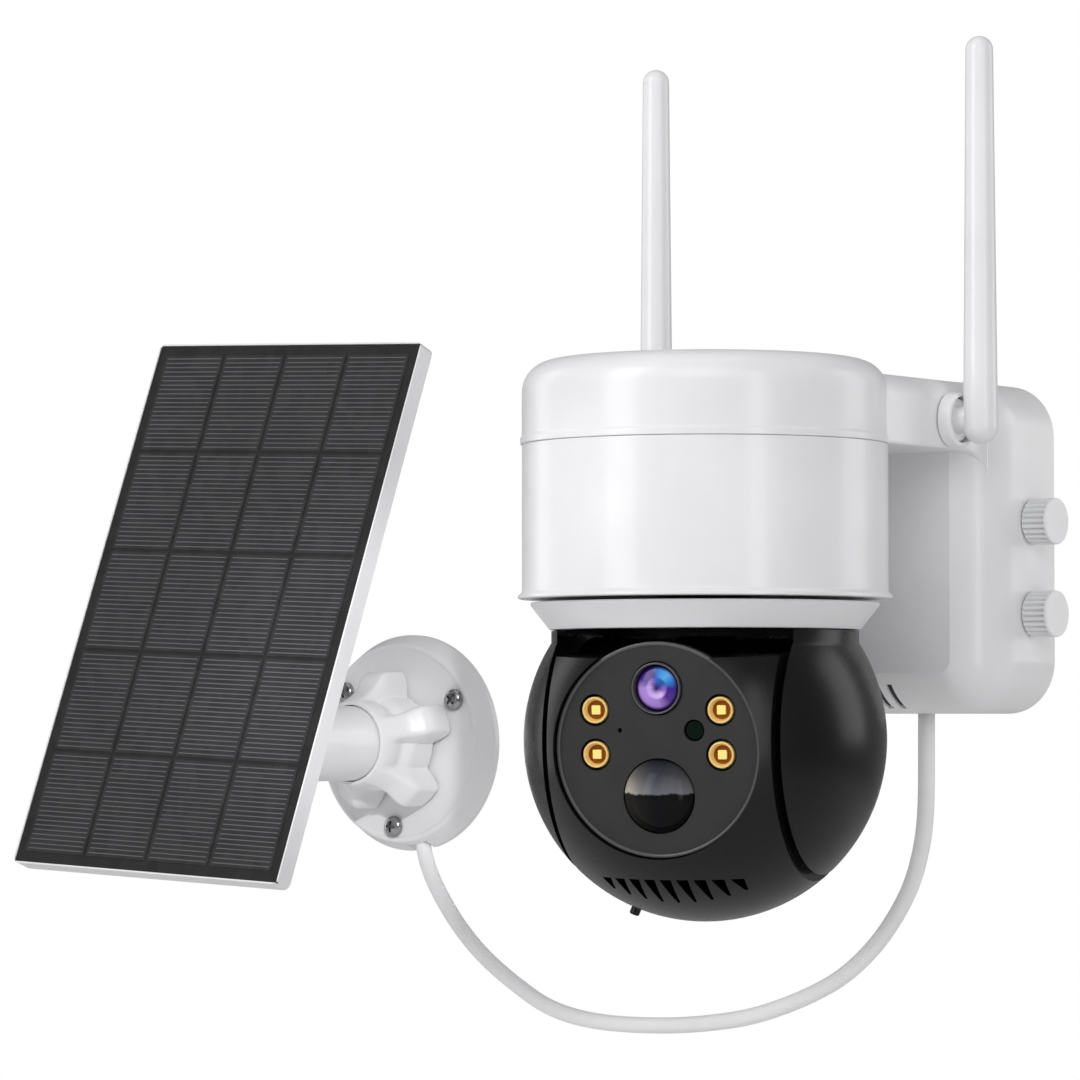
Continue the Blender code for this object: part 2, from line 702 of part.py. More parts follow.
def head_solid(name, inset, parent):
    """The head between the ears: the ball, cut flat at its sides, its top and its rear."""
    radius = BALL_RADIUS - inset
    profile = ball_profile(radius, -radius, radius, 14)
    solid = turned(name, profile, 24 if inset else 32, parent=parent)
    top = HEAD_TOP - inset
    rear = HEAD_REAR - inset
    # Side view: behind the flat top, an arc round the tilt axis closes the view under the yoke
    corner = -math.sqrt(rear**2 - top**2)
    side = [(-50.0, top - 3.0), (-42.0 + inset, top), (corner, top)]
    side += arc((0.0, 0.0), rear, math.degrees(math.atan2(top, corner)), 0, 7)[1:]
    side += [(rear, -50.0), (-50.0, -50.0)]
    half = HEAD_HALF_WIDTH - inset
    keeper = bmesh.new()
    push(keeper, [(-half, y, z) for y, z in side], (2 * half, 0.0, 0.0))
    if not inset:
        # The flat top's two long edges, in front of the arc, are rounded
        outer = []
        for edge in keeper.edges:
            one, two = (corner_point.co for corner_point in edge.verts)
            along = one.x == two.x
            if along and min(one.z, two.z) > 5.0 and max(one.y, two.y) < corner + 1.0:
                outer.append(edge)
        bmesh.ops.bevel(keeper, geom=outer, offset=3.0, segments=2, profile=0.5, affect="EDGES")
    return keep(solid, finish(keeper, "keeper", parent=parent))


def head_shells(black, parent):
    inner = head_solid("head_inner", HEAD_WALL, parent)
    front = head_solid("head_front_shell", 0.0, parent)
    front.data.materials.append(black)
    cut(front, inner)
    seat = PLATE_BACK - GAP
    cut(front, cylinder("recess", PLATE_RADIUS + GAP, seat, 60.0, 32, "-Y", parent=parent))
    cut(front, cylinder("opening", PLATE_RADIUS - 2.6, 28.0, 60.0, 28, "-Y", parent=parent))
    cut(front, cylinder("bore", AXLE_RADIUS + 0.35, -40.0, 40.0, 16, "X", parent=parent))
    vent_slots(front, parent)
    bore = cylinder("bore", 1.65, 38.0, 50.0, 12, parent=parent)
    bore.rotation_euler = button_turn()
    cut(front, bore)
    inner = head_solid("head_inner", HEAD_WALL, parent)
    rear = head_solid("head_rear_shell", 0.0, parent)
    rear.data.materials.append(black)
    cut(rear, inner)
    size = (120.0, 120.0, 120.0)
    cut(rear, block("front_side", size, (0.0, HEAD_SPLIT + GAP / 2 - 60.0, 0.0), parent=parent))
    cut(front, block("rear_side", size, (0.0, HEAD_SPLIT - GAP / 2 + 60.0, 0.0), parent=parent))


def button_turn():
    """Rotation that points +Z out through the reset button, low on the ball's left."""
    angle = math.radians(BUTTON_ROUND)
    side = BUTTON_SIDE * math.sin(angle)
    out = -BUTTON_SIDE * math.cos(angle)
    return Vector((side, out, -BUTTON_DOWN)).to_track_quat("Z", "Y").to_euler()


def vent_slots(front, parent):
    """Nine slots under the face: each narrows to one side, and the outer ones are shorter."""
    for i in range(-4, 5):
        foot = VENT_BOTTOM + VENT_RISE * i * i
        wedge = [(-1.5, VENT_TOP), (1.5, VENT_TOP), (1.2, foot), (0.4, foot)]
        outline = [(x + VENT_PITCH * i, z) for x, z in wedge]
        cut(front, extruded("slot", outline, 8.0, 40.0, "-Y", parent=parent))


def lamp_places():
    return [(x, z) for z in LED_HEIGHTS for x in (-LED_SIDE, LED_SIDE)]


def face_plate(black, parent):
    """Round front with a raised rim and a hole for each thing that looks out of it."""
    rim = PLATE_RADIUS - 1.5
    profile = [
        (0.0, PLATE_BACK),
        (PLATE_RADIUS, PLATE_BACK),
        (PLATE_RADIUS, PLATE_FRONT - 0.5),
        (PLATE_RADIUS - 0.6, PLATE_FRONT),
        (rim, PLATE_FRONT),
        (rim - 0.3, PLATE_FRONT - 0.5),
        (0.0, PLATE_FRONT - 0.5),
    ]
    plate = turned("face_plate", profile, 32, "-Y", look=black, parent=parent)
    holes = [(LENS_RADIUS + GAP, 0.0, LENS_UP, 20), (PIR_RADIUS + GAP, 0.0, -PIR_DOWN, 24)]
    holes += [(2.7, SENSOR_SIDE, SENSOR_UP, 12), (0.6, -SENSOR_SIDE - 0.4, SENSOR_UP, 8)]
    holes += [(LED_RADIUS + GAP, x, z, 14) for x, z in lamp_places()]
    for radius, x, z, steps in holes:
        ends = (PLATE_BACK - 2.0, PLATE_FRONT + 2.0)
        cut(plate, cylinder("bore", radius, *ends, steps, "-Y", (x, 0.0, z), parent=parent))


def lens(black, glass, parent):
    """Threaded-in lens: a narrow rear barrel, a ring at the face and the front glass."""
    at = (0.0, 0.0, LENS_UP)
    shoulder = PLATE_FRONT - 4.7
    floor = PLATE_FRONT - 3.6
    barrel = [
        (0.0, 22.4),
        (4.9, 22.4),
        (4.9, shoulder),
        (LENS_RADIUS, shoulder),
        (LENS_RADIUS, PLATE_FRONT + 0.3),
        (LENS_RADIUS - 0.5, PLATE_FRONT + 0.5),
        (5.2, PLATE_FRONT + 0.2),
        (5.2, floor),
        (0.0, floor),
    ]
    turned("lens_barrel", barrel, 20, "-Y", at, look=black, parent=parent)
    dome = [(0.0, floor + GAP), (4.9, floor + GAP), (4.9, PLATE_FRONT - 1.9)]
    dome += [(3.4, PLATE_FRONT - 0.9), (1.7, PLATE_FRONT - 0.4), (0.0, PLATE_FRONT - 0.25)]
    turned("lens_glass", dome, 18, "-Y", at, look=glass, parent=parent)


def lamps(gold, green, parent):
    """Four reflector cups, and the board behind the face with a chip for each."""
    cup = [
        (1.7, PLATE_BACK - 1.4),
        (LED_RADIUS, PLATE_BACK - 1.4),
        (LED_RADIUS, PLATE_FRONT - 0.3),
        (LED_RADIUS - 0.6, PLATE_FRONT - 0.3),
        (2.0, PLATE_BACK - 0.6),
        (1.7, PLATE_BACK - 0.8),
    ]
    for number, (x, z) in enumerate(lamp_places(), 1):
        name = f"led_reflector_{number}"
        turned(name, cup, 14, "-Y", (x, 0.0, z), look=gold, parent=parent)
    ends = (PLATE_BACK - 4.4, PLATE_BACK - 3.2)
    board = cylinder("led_board", 22.0, *ends, 20, "-Y", look=green, parent=parent)
    for radius, z in ((7.8, LENS_UP), (PIR_RADIUS + 0.4, -PIR_DOWN)):
        cut(board, cylinder("bore", radius, 20.0, 40.0, 16, "-Y", (0.0, 0.0, z), parent=parent))
    for x, z in lamp_places():
        join(board, block("chip", (2.1, 2.6, 2.1), (x, 2.4 - PLATE_BACK, z), parent=parent))


def sensors(dome, window, parent):
    """Motion sensor's dome, low on the face, and the light sensor's small window."""
    edge = PLATE_FRONT - 0.4
    bulge = 4.6
    sphere = (PIR_RADIUS**2 + bulge**2) / (2 * bulge)
    reach = math.degrees(math.asin(PIR_RADIUS / sphere))
    profile = [(0.0, PLATE_BACK - 4.0), (7.4, PLATE_BACK - 4.0), (7.4, PLATE_BACK - 1.2)]
    profile += [(PIR_RADIUS, PLATE_BACK - 1.2)]
    profile += arc((0.0, edge + bulge - sphere), sphere, 90 - reach, 90, 4)[:-1]
    profile += [(0.0, edge + bulge)]
    turned("pir_dome", profile, 24, "-Y", (0.0, 0.0, -PIR_DOWN), look=dome, parent=parent)
    ends = (PLATE_BACK - 0.6, PLATE_FRONT - 1.0)
    place = {"centre": (SENSOR_SIDE, 0.0, SENSOR_UP), "look": window, "parent": parent}
    cylinder("light_sensor_window", 2.4, *ends, 12, "-Y", **place)


def reset_button(black, parent):
    axis = empty("reset_button_axis", parent)
    axis.rotation_euler = button_turn()
    profile = [(0.0, 41.4), (2.2, 41.4), (2.2, 42.4), (1.3, 42.4)]
    profile += [(1.3, 47.6), (0.9, 48.1), (0.0, 48.1)]
    return turned("reset_button", profile, 12, look=black, parent=axis)


# ---------------------------------------------------------------- solar panel


def base_screw_places():
    places = []
    for degrees in BASE_SCREW_ANGLES:
        angle = math.radians(degrees)
        places.append((BASE_SCREW_RING * math.cos(angle), 0.0, BASE_SCREW_RING * math.sin(angle)))
    return places


def base_plate(white, parent):
    """Round wall base, hollow behind, with the stub that the arm swivels on."""
    front = BASE_THICKNESS
    profile = [
        (4.0, front - 3.0),
        (26.6, front - 3.0),
        (29.0, 0.0),
        (BASE_RADIUS, 0.0),
        (BASE_RADIUS, 1.2),
        (BASE_RADIUS - 0.5, 2.6),
        (29.6, 7.2),
        (28.9, front),
        (28.4, front - 0.7),
        (8.0, front - 0.7),
        (8.0, 22.0),
        (4.0, 22.0),
    ]
    base = turned("base_plate", profile, 36, "-Y", look=white, parent=parent)
    for at in base_screw_places():
        cut(base, cylinder("bore", 2.3, 2.0, 12.0, 12, "-Y", at, parent=parent))
    notch_at = (5.2, -2.0, -BASE_RADIUS + 2.2)
    return cut(base, block("cable_notch", (7.2, 6.8, 9.0), notch_at, parent=parent))


def base_screws(steel, parent):
    face = BASE_THICKNESS - 0.7
    profile = [(0.0, 0.6), (1.9, 1.2), (1.9, face + GAP), (3.1, face + GAP), (3.1, face + 0.9)]
    profile += [(2.5, face + 1.8), (1.4, face + 2.3), (0.0, face + 2.45)]
    for number, at in enumerate(base_screw_places(), 1):
        screw = turned(f"base_screw_{number}", profile, 12, "-Y", at, look=steel, parent=parent)
        for size in ((3.4, 2.0, 0.8), (0.8, 2.0, 3.4)):
            centre = (at[0], -face - 2.45, at[2])
            cut(screw, block("cross", size, centre, parent=parent))


def star_outline(radius, depth, steps=40):
    points = []
    for i in range(steps):
        angle = math.tau * i / steps
        wave = 0.5 + 0.5 * math.cos(5 * (angle - math.radians(KNOB_LOBE)))
        reach = radius - depth * (1 - wave**0.7)
        points.append((reach * math.cos(angle), reach * math.sin(angle)))
    return points


def star_knob(white, parent):
    """Five-lobed locking nut, lofted from its star to the round neck at its front."""
    start = BASE_THICKNESS + 0.2
    # Radius of the lobes, depth of the hollows between them and distance from the wall
    levels = (
        (KNOB_RADIUS, 6.8, start),
        (KNOB_RADIUS, 6.9, start + 8.6),
        (KNOB_RADIUS - 1.2, 6.4, start + 10.8),
        (KNOB_RADIUS - 4.4, 4.6, start + 13.2),
        (15.0, 1.8, start + 16.6),
        (12.9, 0.3, start + 19.6),
        (12.0, 0.0, KNOB_FRONT),
    )
    rings = []
    for radius, depth, out in levels:
        rings.append([(x, -out, z) for x, z in star_outline(radius, depth)])
    knob = lofted("star_knob", rings, look=white, parent=parent)
    bore = cylinder("bore", TUBE_RADIUS + GAP, 5.0, 35.0, 28, "-Y", parent=parent)
    return cut(knob, bore)


def arm_tube(white, parent):
    start = BASE_THICKNESS - 0.2
    profile = [
        (8.3, start),
        (TUBE_RADIUS, start),
        (TUBE_RADIUS, 62.6),
        (TUBE_RADIUS - 1.4, 64.0),
        (4.0, 64.0),
        (4.0, 22.6),
        (8.3, 22.6),
    ]
    tube = turned("arm_tube", profile, 28, "-Y", look=white, parent=parent)
    side = [(-60.0, -EYE_RADIUS), (-60.0, EYE_RADIUS), (-HINGE_OUT, EYE_RADIUS)]
    side += arc((-HINGE_OUT, 0.0), EYE_RADIUS, 90, 270, 7)[1:-1] + [(-HINGE_OUT, -EYE_RADIUS)]
    join(tube, side_prism("tongue", side, -4.5, 4.5, parent=parent))
    hinge = (0.0, -HINGE_OUT, 0.0)
    cut(tube, cylinder("bore", BOLT_BORE, -8.0, 8.0, 14, "X", hinge, parent=parent))
    return cut(tube, cylinder("wire_way", 3.0, 40.0, 68.0, 12, "-Y", parent=parent))


def hinge_parts(steel, white, parent):
    bolt = [(0.0, -14.6), (2.0, -14.6), (4.2, -13.4), (4.2, -11.4)]
    bolt += [(2.3, -11.4), (2.3, 15.0), (0.0, 15.0)]
    turned("hinge_bolt", bolt, 14, "X", (0.0, -HINGE_OUT, 0.0), look=steel, parent=parent)
    axis = empty("hinge_nut_axis", parent, (11.4, -HINGE_OUT, 0.0))
    hexagon = arc((0.0, 0.0), NUT_RADIUS, 0, 300, 5)
    nut = extruded("hinge_nut", hexagon, 0.0, 5.0, "X", look=white, parent=axis)
    cut(nut, cylinder("bore", BOLT_BORE, -2.0, 8.0, 14, "X", parent=axis))


def panel(white, cells, black, parent):
    """Panel in the frame of its hinge: the cells face -Y and the hinge lies along X."""
    front = PANEL_BACK + PANEL_THICKNESS
    middle = (PANEL_SHIFT, 0.0, PANEL_RISE)
    outline = rounded_rectangle(PANEL_WIDTH / 2, PANEL_HEIGHT / 2, 2.0, 3)
    ends = (PANEL_BACK, front)
    frame = extruded("panel_frame", outline, *ends, "-Y", middle, look=white, parent=parent)
    width = PANEL_WIDTH - 2 * PANEL_BORDER
    height = PANEL_HEIGHT - 2 * PANEL_BORDER
    at = (PANEL_SHIFT, -front, PANEL_RISE)
    cut(frame, block("recess", (width, 2.4, height), at, parent=parent))
    size = (width - 2 * GAP, 0.8, height - 2 * GAP)
    at = (PANEL_SHIFT, 0.5 - front, PANEL_RISE)
    block("solar_laminate", size, at, look=cells, parent=parent)
    at = (PANEL_SHIFT, 4.8 - PANEL_BACK, PANEL_RISE + 9.0)
    block("junction_box", (42.0, 9.0, 30.0), at, 1.2, look=black, parent=parent)


def panel_bracket(white, parent):
    """Plate on the panel's back with two ears, one each side of the arm's tongue."""
    at = (0.0, 1.8 - PANEL_BACK, 0.0)
    bracket = block("panel_bracket", (36.0, 3.0, 40.0), at, 0.8, look=white, parent=parent)
    root = 1.0 - PANEL_BACK
    ear = [(root, -9.0), (root, 9.0)] + arc((0.0, 0.0), EYE_RADIUS, 80, -80, 6)
    for low in (-11.0, 5.0):
        join(bracket, side_prism("ear", ear, low, low + 6.0, parent=parent))
    return cut(bracket, cylinder("bore", BOLT_BORE, -14.0, 14.0, 14, "X", parent=parent))


# ---------------------------------------------------------------- cable


def smooth_route(points, count):
    """Even points along a Catmull-Rom curve through the route."""
    fine = []
    padded = [points[0]] + list(points) + [points[-1]]
    for i in range(1, len(padded) - 2):
        p0, p1, p2, p3 = (Vector(p) for p in padded[i - 1 : i + 3])
        for j in range(20):
            t = j / 20
            fine.append(
                0.5
                * (
                    2 * p1
                    + (p2 - p0) * t
                    + (2 * p0 - 5 * p1 + 4 * p2 - p3) * t**2
                    + (3 * p1 - p0 - 3 * p2 + p3) * t**3
                )
            )
    fine.append(Vector(points[-1]))
    lengths = [0.0]
    for a, b in zip(fine, fine[1:]):
        lengths.append(lengths[-1] + (b - a).length)
    even = []
    index = 0
    for i in range(count):
        wanted = lengths[-1] * i / (count - 1)
        while index < len(lengths) - 2 and lengths[index + 1] < wanted:
            index += 1
        span = lengths[index + 1] - lengths[index]
        even.append(fine[index].lerp(fine[index + 1], (wanted - lengths[index]) / span))
    return even


def cable(look):
    points = smooth_route(CABLE_ROUTE, 36)
    curve = bpy.data.curves.new("cable", "CURVE")
    curve.dimensions = "3D"
    curve.bevel_depth = CABLE_RADIUS * MM
    curve.bevel_resolution = 2
    curve.use_fill_caps = True
    spline = curve.splines.new("POLY")
    spline.points.add(len(points) - 1)
    for target, point in zip(spline.points, points):
        target.co = (*(point * MM), 1.0)
    curve.materials.append(look)
    made = bpy.data.objects.new("cable", curve)
    bpy.context.scene.collection.objects.link(made)
    return made


# ---------------------------------------------------------------- assembly


def build():
    clear_scene()
    white = material("white_plastic", (0.86, 0.86, 0.87), 0.28)
    grey = material("grey_plastic", (0.62, 0.62, 0.64), 0.4)
    black = material("black_plastic", (0.02, 0.02, 0.022), 0.35)
    plate = material("face_black", (0.045, 0.043, 0.043), 0.5)
    steel = material("steel", (0.6, 0.6, 0.61), 0.3, 1.0)
    brass = material("gear_plastic", (0.78, 0.72, 0.55), 0.5)
    green = material("circuit_board", (0.02, 0.16, 0.07), 0.45)
    blue = material("cell_wrap", (0.05, 0.2, 0.5), 0.4)
    glass = material("lens_glass", (0.12, 0.05, 0.35), 0.05)
    dome = material("pir_black", (0.01, 0.01, 0.012), 0.08)
    window = material("sensor_window", (0.01, 0.05, 0.03), 0.15)
    gold = material("led_cup", (0.85, 0.6, 0.22), 0.3)
    cells = material("solar_cells", (0.03, 0.03, 0.035), 0.35)
    jacket = material("cable_jacket", (0.75, 0.75, 0.76), 0.45)

    main_housing(white)
    drum_barrel(white)
    wall_plate(steel)
    rear_cover(grey)
    battery_cells(blue)
    box_inside(green, black)
    drum_inside(green, steel, grey, brass)
    antennas(white)
    thumb_screws(white)

    pan_axis = empty("pan_axis", None, (0, -PAN_AXIS_OUT, -BALL_DROP), (0, 0, PAN_REST))
    tilt_axis = empty("tilt_axis", pan_axis, (0, 0, 0), (TILT_REST, 0, 0))
    collar(grey, pan_axis)
    yoke(black, pan_axis)
    ear_plates(black, pan_axis)
    tilt_axles(steel, pan_axis)
    pan_gear(brass, pan_axis, DRUM_BOTTOM + 3.2)
    tilt_train(brass, steel, pan_axis, tilt_axis)
    head_shells(black, tilt_axis)
    face_plate(plate, tilt_axis)
    lens(black, glass, tilt_axis)
    lamps(gold, green, tilt_axis)
    sensors(dome, window, tilt_axis)
    block("camera_board", (30.0, 1.6, 26.0), (0.0, -21.0, 6.2), look=green, parent=tilt_axis)
    reset_button(black, tilt_axis)

    base = empty("panel_base", None, (BASE_X, 0, BASE_Z))
    base_plate(white, base)
    base_screws(steel, base)
    star_knob(white, base)
    arm_axis = empty("arm_axis", base, (0, 0, 0), (0, ARM_ROLL, 0))
    arm_tube(white, arm_axis)
    hinge_parts(steel, white, arm_axis)
    panel_axis = empty("panel_axis", arm_axis, (0, -HINGE_OUT, 0), (-PANEL_LEAN, 0, 0))
    panel(white, cells, black, panel_axis)
    panel_bracket(white, panel_axis)
    cable(jacket)


build()
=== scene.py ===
"""Looks of the solar-powered security camera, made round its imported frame.

Sizes are in millimetres, in each sub-part's own frame. A sub-part's frame is where its joint is, so
the head's pieces are made round the middle of the ball, and the panel's round its hinge.
"""

import json
import math

import bmesh
import bpy
from mathutils import Matrix, Vector

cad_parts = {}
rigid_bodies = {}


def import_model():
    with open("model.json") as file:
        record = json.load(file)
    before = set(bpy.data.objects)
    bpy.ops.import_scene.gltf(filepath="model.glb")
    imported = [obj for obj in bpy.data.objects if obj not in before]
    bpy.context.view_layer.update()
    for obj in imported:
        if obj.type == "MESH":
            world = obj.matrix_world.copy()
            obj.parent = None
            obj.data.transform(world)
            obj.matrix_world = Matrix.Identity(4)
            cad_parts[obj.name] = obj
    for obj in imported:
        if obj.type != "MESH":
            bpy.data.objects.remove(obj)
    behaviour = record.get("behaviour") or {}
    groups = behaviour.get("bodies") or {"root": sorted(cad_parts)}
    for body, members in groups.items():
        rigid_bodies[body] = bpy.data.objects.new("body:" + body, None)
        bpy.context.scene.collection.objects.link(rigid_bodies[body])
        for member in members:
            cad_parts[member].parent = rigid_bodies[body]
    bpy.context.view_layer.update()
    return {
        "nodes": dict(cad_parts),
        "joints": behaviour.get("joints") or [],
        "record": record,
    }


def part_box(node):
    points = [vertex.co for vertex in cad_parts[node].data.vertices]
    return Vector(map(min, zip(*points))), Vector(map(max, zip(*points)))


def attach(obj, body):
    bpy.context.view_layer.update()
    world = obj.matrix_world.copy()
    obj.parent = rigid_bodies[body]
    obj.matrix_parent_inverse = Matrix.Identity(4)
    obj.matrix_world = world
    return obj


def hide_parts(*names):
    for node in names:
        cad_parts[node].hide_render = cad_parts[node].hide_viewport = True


for startup_object in list(bpy.data.objects):
    bpy.data.objects.remove(startup_object, do_unlink=True)
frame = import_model()

MM = 0.001
WELD = 1e-4
joints = {joint["name"]: joint for joint in frame["joints"]}


def box_mm(node):
    low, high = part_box(node)
    return low / MM, high / MM


# ---------------------------------------------------------------- sizes

# Housing
HOUSING_LOW, HOUSING_HIGH = box_mm("main_housing")
DRUM_LOW, DRUM_HIGH = box_mm("drum_barrel")
COLLAR_LOW, COLLAR_HIGH = box_mm("turntable_collar")
BOX_HALF_WIDTH = HOUSING_HIGH.x
BOX_HALF_HEIGHT = -HOUSING_LOW.z
BOX_DEPTH = 35.8
BOX_CORNER = 14.0
BOX_EDGE = 18.5
BOX_EDGE_SWEEP = 65.0
SHELL_WALL = 2.5
# Depth under the box's surface where the black filling of the sound slots, the painted shade in them,
# starts
SLOT_SHADE_GAP = 0.7
SEAM = 24.7
CAP_TOP = HOUSING_HIGH.z
CAP_RADIUS = 46.9
DRUM_RADIUS = DRUM_HIGH.x
ARM_HALF_WIDTH = 42.1
ARM_TOP = BOX_HALF_HEIGHT - 0.6
ARM_FLARE = 8.0
ARM_FLARE_END = -29.6
SOUND_SLOT_PITCH = 4.0
SOUND_SLOT_SIZE = (1.9, 8.0, 16.0)
WIDE_BORE = 4.4
SCREW_BORE = 2.3

# Head
BALL_RADIUS = 46.0
EAR_INNER = 31.2
HEAD_HALF_WIDTH = 29.3
HEAD_WALL = 2.2
HEAD_TOP = 22.7
HEAD_REAR = 26.2
HEAD_SPLIT = 8.0
SHAFT_FLOOR = 26.5
NECK_RADIUS = 39.0
PLATE_RADIUS = 26.7
PLATE_FRONT = 35.7
PLATE_BACK = 33.3
FACE_FLAT = PLATE_FRONT - 0.4
FACE_GAP = 0.35
LENS_UP = 15.2
LENS_RADIUS = 6.4
GLASS_RADIUS = 5.75
LED_SIDE = 16.4
LED_HEIGHTS = (9.8, -1.2)
LED_RADIUS = 3.3
LED_HOLE = 4.0
PIR_DOWN = 11.4
PIR_RADIUS = 9.0
PIR_BULGE = 4.6
SENSOR_SIDE = 9.5
SENSOR_UP = 4.8
VENT_PITCH = 4.3
VENT_TOP = -32.4
VENT_BOTTOM = -38.8
TILT_REST = 3.9

# Antennas and thumb screws
ANTENNA_SIDE = 51.4
ANTENNA_TOP = box_mm("antenna_right")[1].z
SOCKET_RADIUS = 7.0
SCREW_RADIUS = 6.1
SCREW_LENGTH = 7.5
SCREW_RIBS = 24
# Distance from the box, how much smaller the screw is there, and the depth of its grooves
SCREW_LEVELS = (
    (0.0, 0.5, 0.0),
    (0.4, 0.0, 1.0),
    (SCREW_LENGTH - 1.1, 0.0, 1.0),
    (SCREW_LENGTH - 0.7, 0.0, 0.0),
    (SCREW_LENGTH - 0.2, 0.1, 0.0),
    (SCREW_LENGTH, 0.4, 0.0),
)

# Panel and its bracket
BASE_RADIUS = 31.5
BASE_THICKNESS = 8.0
BASE_SCREW_RING = 24.4
BASE_SCREW_ANGLES = (31.0, 143.0, 267.0)
TUBE_RADIUS = 10.75
KNOB_FRONT = 29.5
KNOB_RADIUS = 20.8
KNOB_LOBE = 20.5
HINGE_OUT = 79.0
EYE_RADIUS = 7.5
HINGE_BORE = 2.7
PANEL_LEAN = 20.1
PANEL_WIDTH = 97.0
PANEL_HEIGHT = 158.3
PANEL_THICKNESS = 5.5
PANEL_BACK = 13.8
PANEL_RISE = 34.6
PANEL_SHIFT = -4.2
PANEL_BORDER = 0.5
CELL_MARGIN = 2.6
CELL_COLUMNS = 4
CELL_ROWS = 5
CELL_GAPS = (0.9, 1.0)
FINGERS = 21

# Cable: the same route as in the CAD model
CABLE_RADIUS = 2.25
CABLE_ROUTE = (
    (14.6, -13.0, -42.0), (14.6, -13.0, -48.0), (13.9, -12.5, -70.0),
    (11.2, -12.0, -83.2), (6.3, -11.5, -93.7), (-2.0, -11.0, -104.5),
    (-12.6, -10.5, -113.5), (-24.5, -10.0, -119.7), (-40.1, -9.5, -125.2),
    (-54.7, -9.0, -128.2), (-74.3, -8.5, -130.1), (-96.7, -8.0, -130.0),
    (-113.4, -7.5, -127.1), (-126.4, -7.0, -121.1), (-139.1, -6.5, -113.0),
    (-148.6, -6.0, -104.5), (-156.3, -5.2, -95.4), (-161.4, -4.2, -87.6),
    (-164.2, -3.0, -80.8), (-164.8, -2.6, -74.0),
)

# ---------------------------------------------------------------- frames


def turn(degrees, axis):
    return Matrix.Rotation(math.radians(degrees), 4, axis)


WORLD = Matrix.Identity(4)
PAN_AT = Vector(joints["head_pan"]["pos_m"])
TILT_AXIS = Vector(joints["head_tilt"]["axis"])
PAN_REST = math.degrees(math.atan2(TILT_AXIS.y, TILT_AXIS.x))
DRUM = Matrix.Translation((PAN_AT.x, PAN_AT.y, 0.0))
PAN = Matrix.Translation(PAN_AT) @ turn(PAN_REST, "Z")
HEAD = PAN @ turn(TILT_REST, "X")
PEG_AXIS = -Vector(joints["reset_press"]["axis"])
PEG = Matrix.Translation(PAN_AT) @ PEG_AXIS.to_track_quat("Z", "Y").to_matrix().to_4x4()
BASE = Matrix.Translation(joints["arm_swivel"]["pos_m"])
HINGE_AXIS = Vector(joints["panel_tilt"]["axis"])
ARM_ROLL = math.degrees(math.atan2(-HINGE_AXIS.z, HINGE_AXIS.x))
ARM = BASE @ turn(ARM_ROLL, "Y")
PANEL = ARM @ Matrix.Translation((0.0, -HINGE_OUT * MM, 0.0)) @ turn(-PANEL_LEAN, "X")


# ---------------------------------------------------------------- mesh helpers

AXES = {"Z": WORLD, "X": turn(90, "Y"), "-X": turn(-90, "Y"), "-Y": turn(90, "X")}


def arc(centre, radius, start, end, steps):
    """Points of an arc, angles in degrees."""
    points = []
    for i in range(steps + 1):
        angle = math.radians(start + (end - start) * i / steps)
        points.append(
            (centre[0] + radius * math.cos(angle), centre[1] + radius * math.sin(angle))
        )
    return points


def rounded(points, steps=5, closed=False):
    """An outline. A point's third value, where it has one, is the radius of its rounded corner."""
    made = []
    count = len(points)
    for i, point in enumerate(points):
        here = Vector(point[:2])
        if len(point) < 3 or (not closed and i in (0, count - 1)):
            made.append(tuple(here))
            continue
        before = (Vector(points[i - 1][:2]) - here).normalized()
        after = (Vector(points[(i + 1) % count][:2]) - here).normalized()
        half = before.angle(after) / 2
        centre = here + (before + after).normalized() * (point[2] / math.sin(half))
        start = here + before * (point[2] / math.tan(half)) - centre
        end = here + after * (point[2] / math.tan(half)) - centre
        first = math.atan2(start.y, start.x)
        sweep = (math.atan2(end.y, end.x) - first + math.pi) % math.tau - math.pi
        for j in range(steps + 1):
            angle = first + sweep * j / steps
            made.append((centre.x + point[2] * math.cos(angle), centre.y + point[2] * math.sin(angle)))
    return made


def rounded_rectangle(half_width, half_height, radius, steps=12):
    corners = ((1, 1), (-1, 1), (-1, -1), (1, -1))
    return rounded([(x * half_width, y * half_height, radius) for x, y in corners], steps, True)


def new_object(name, data):
    made = bpy.data.objects.new(name, data)
    bpy.context.scene.collection.objects.link(made)
    return made


def finish(shape, name, place=WORLD):
    """Turns a bmesh in millimetres into an object in its own frame."""
    bmesh.ops.remove_doubles(shape, verts=shape.verts, dist=WELD)
    bmesh.ops.recalc_face_normals(shape, faces=shape.faces)
    bmesh.ops.scale(shape, vec=(MM, MM, MM), verts=shape.verts)
    mesh = bpy.data.meshes.new(name)
    shape.to_mesh(mesh)
    shape.free()
    piece = new_object(name, mesh)
    piece.matrix_world = place
    return piece


def is_flat_hub(corner):
    """True for the middle of a flat end, whose fan of triangles is better as one face."""
    on_axis = math.hypot(corner.co.x, corner.co.y) < WELD
    return on_axis and all(abs(face.normal.z) > 0.9999 for face in corner.link_faces)


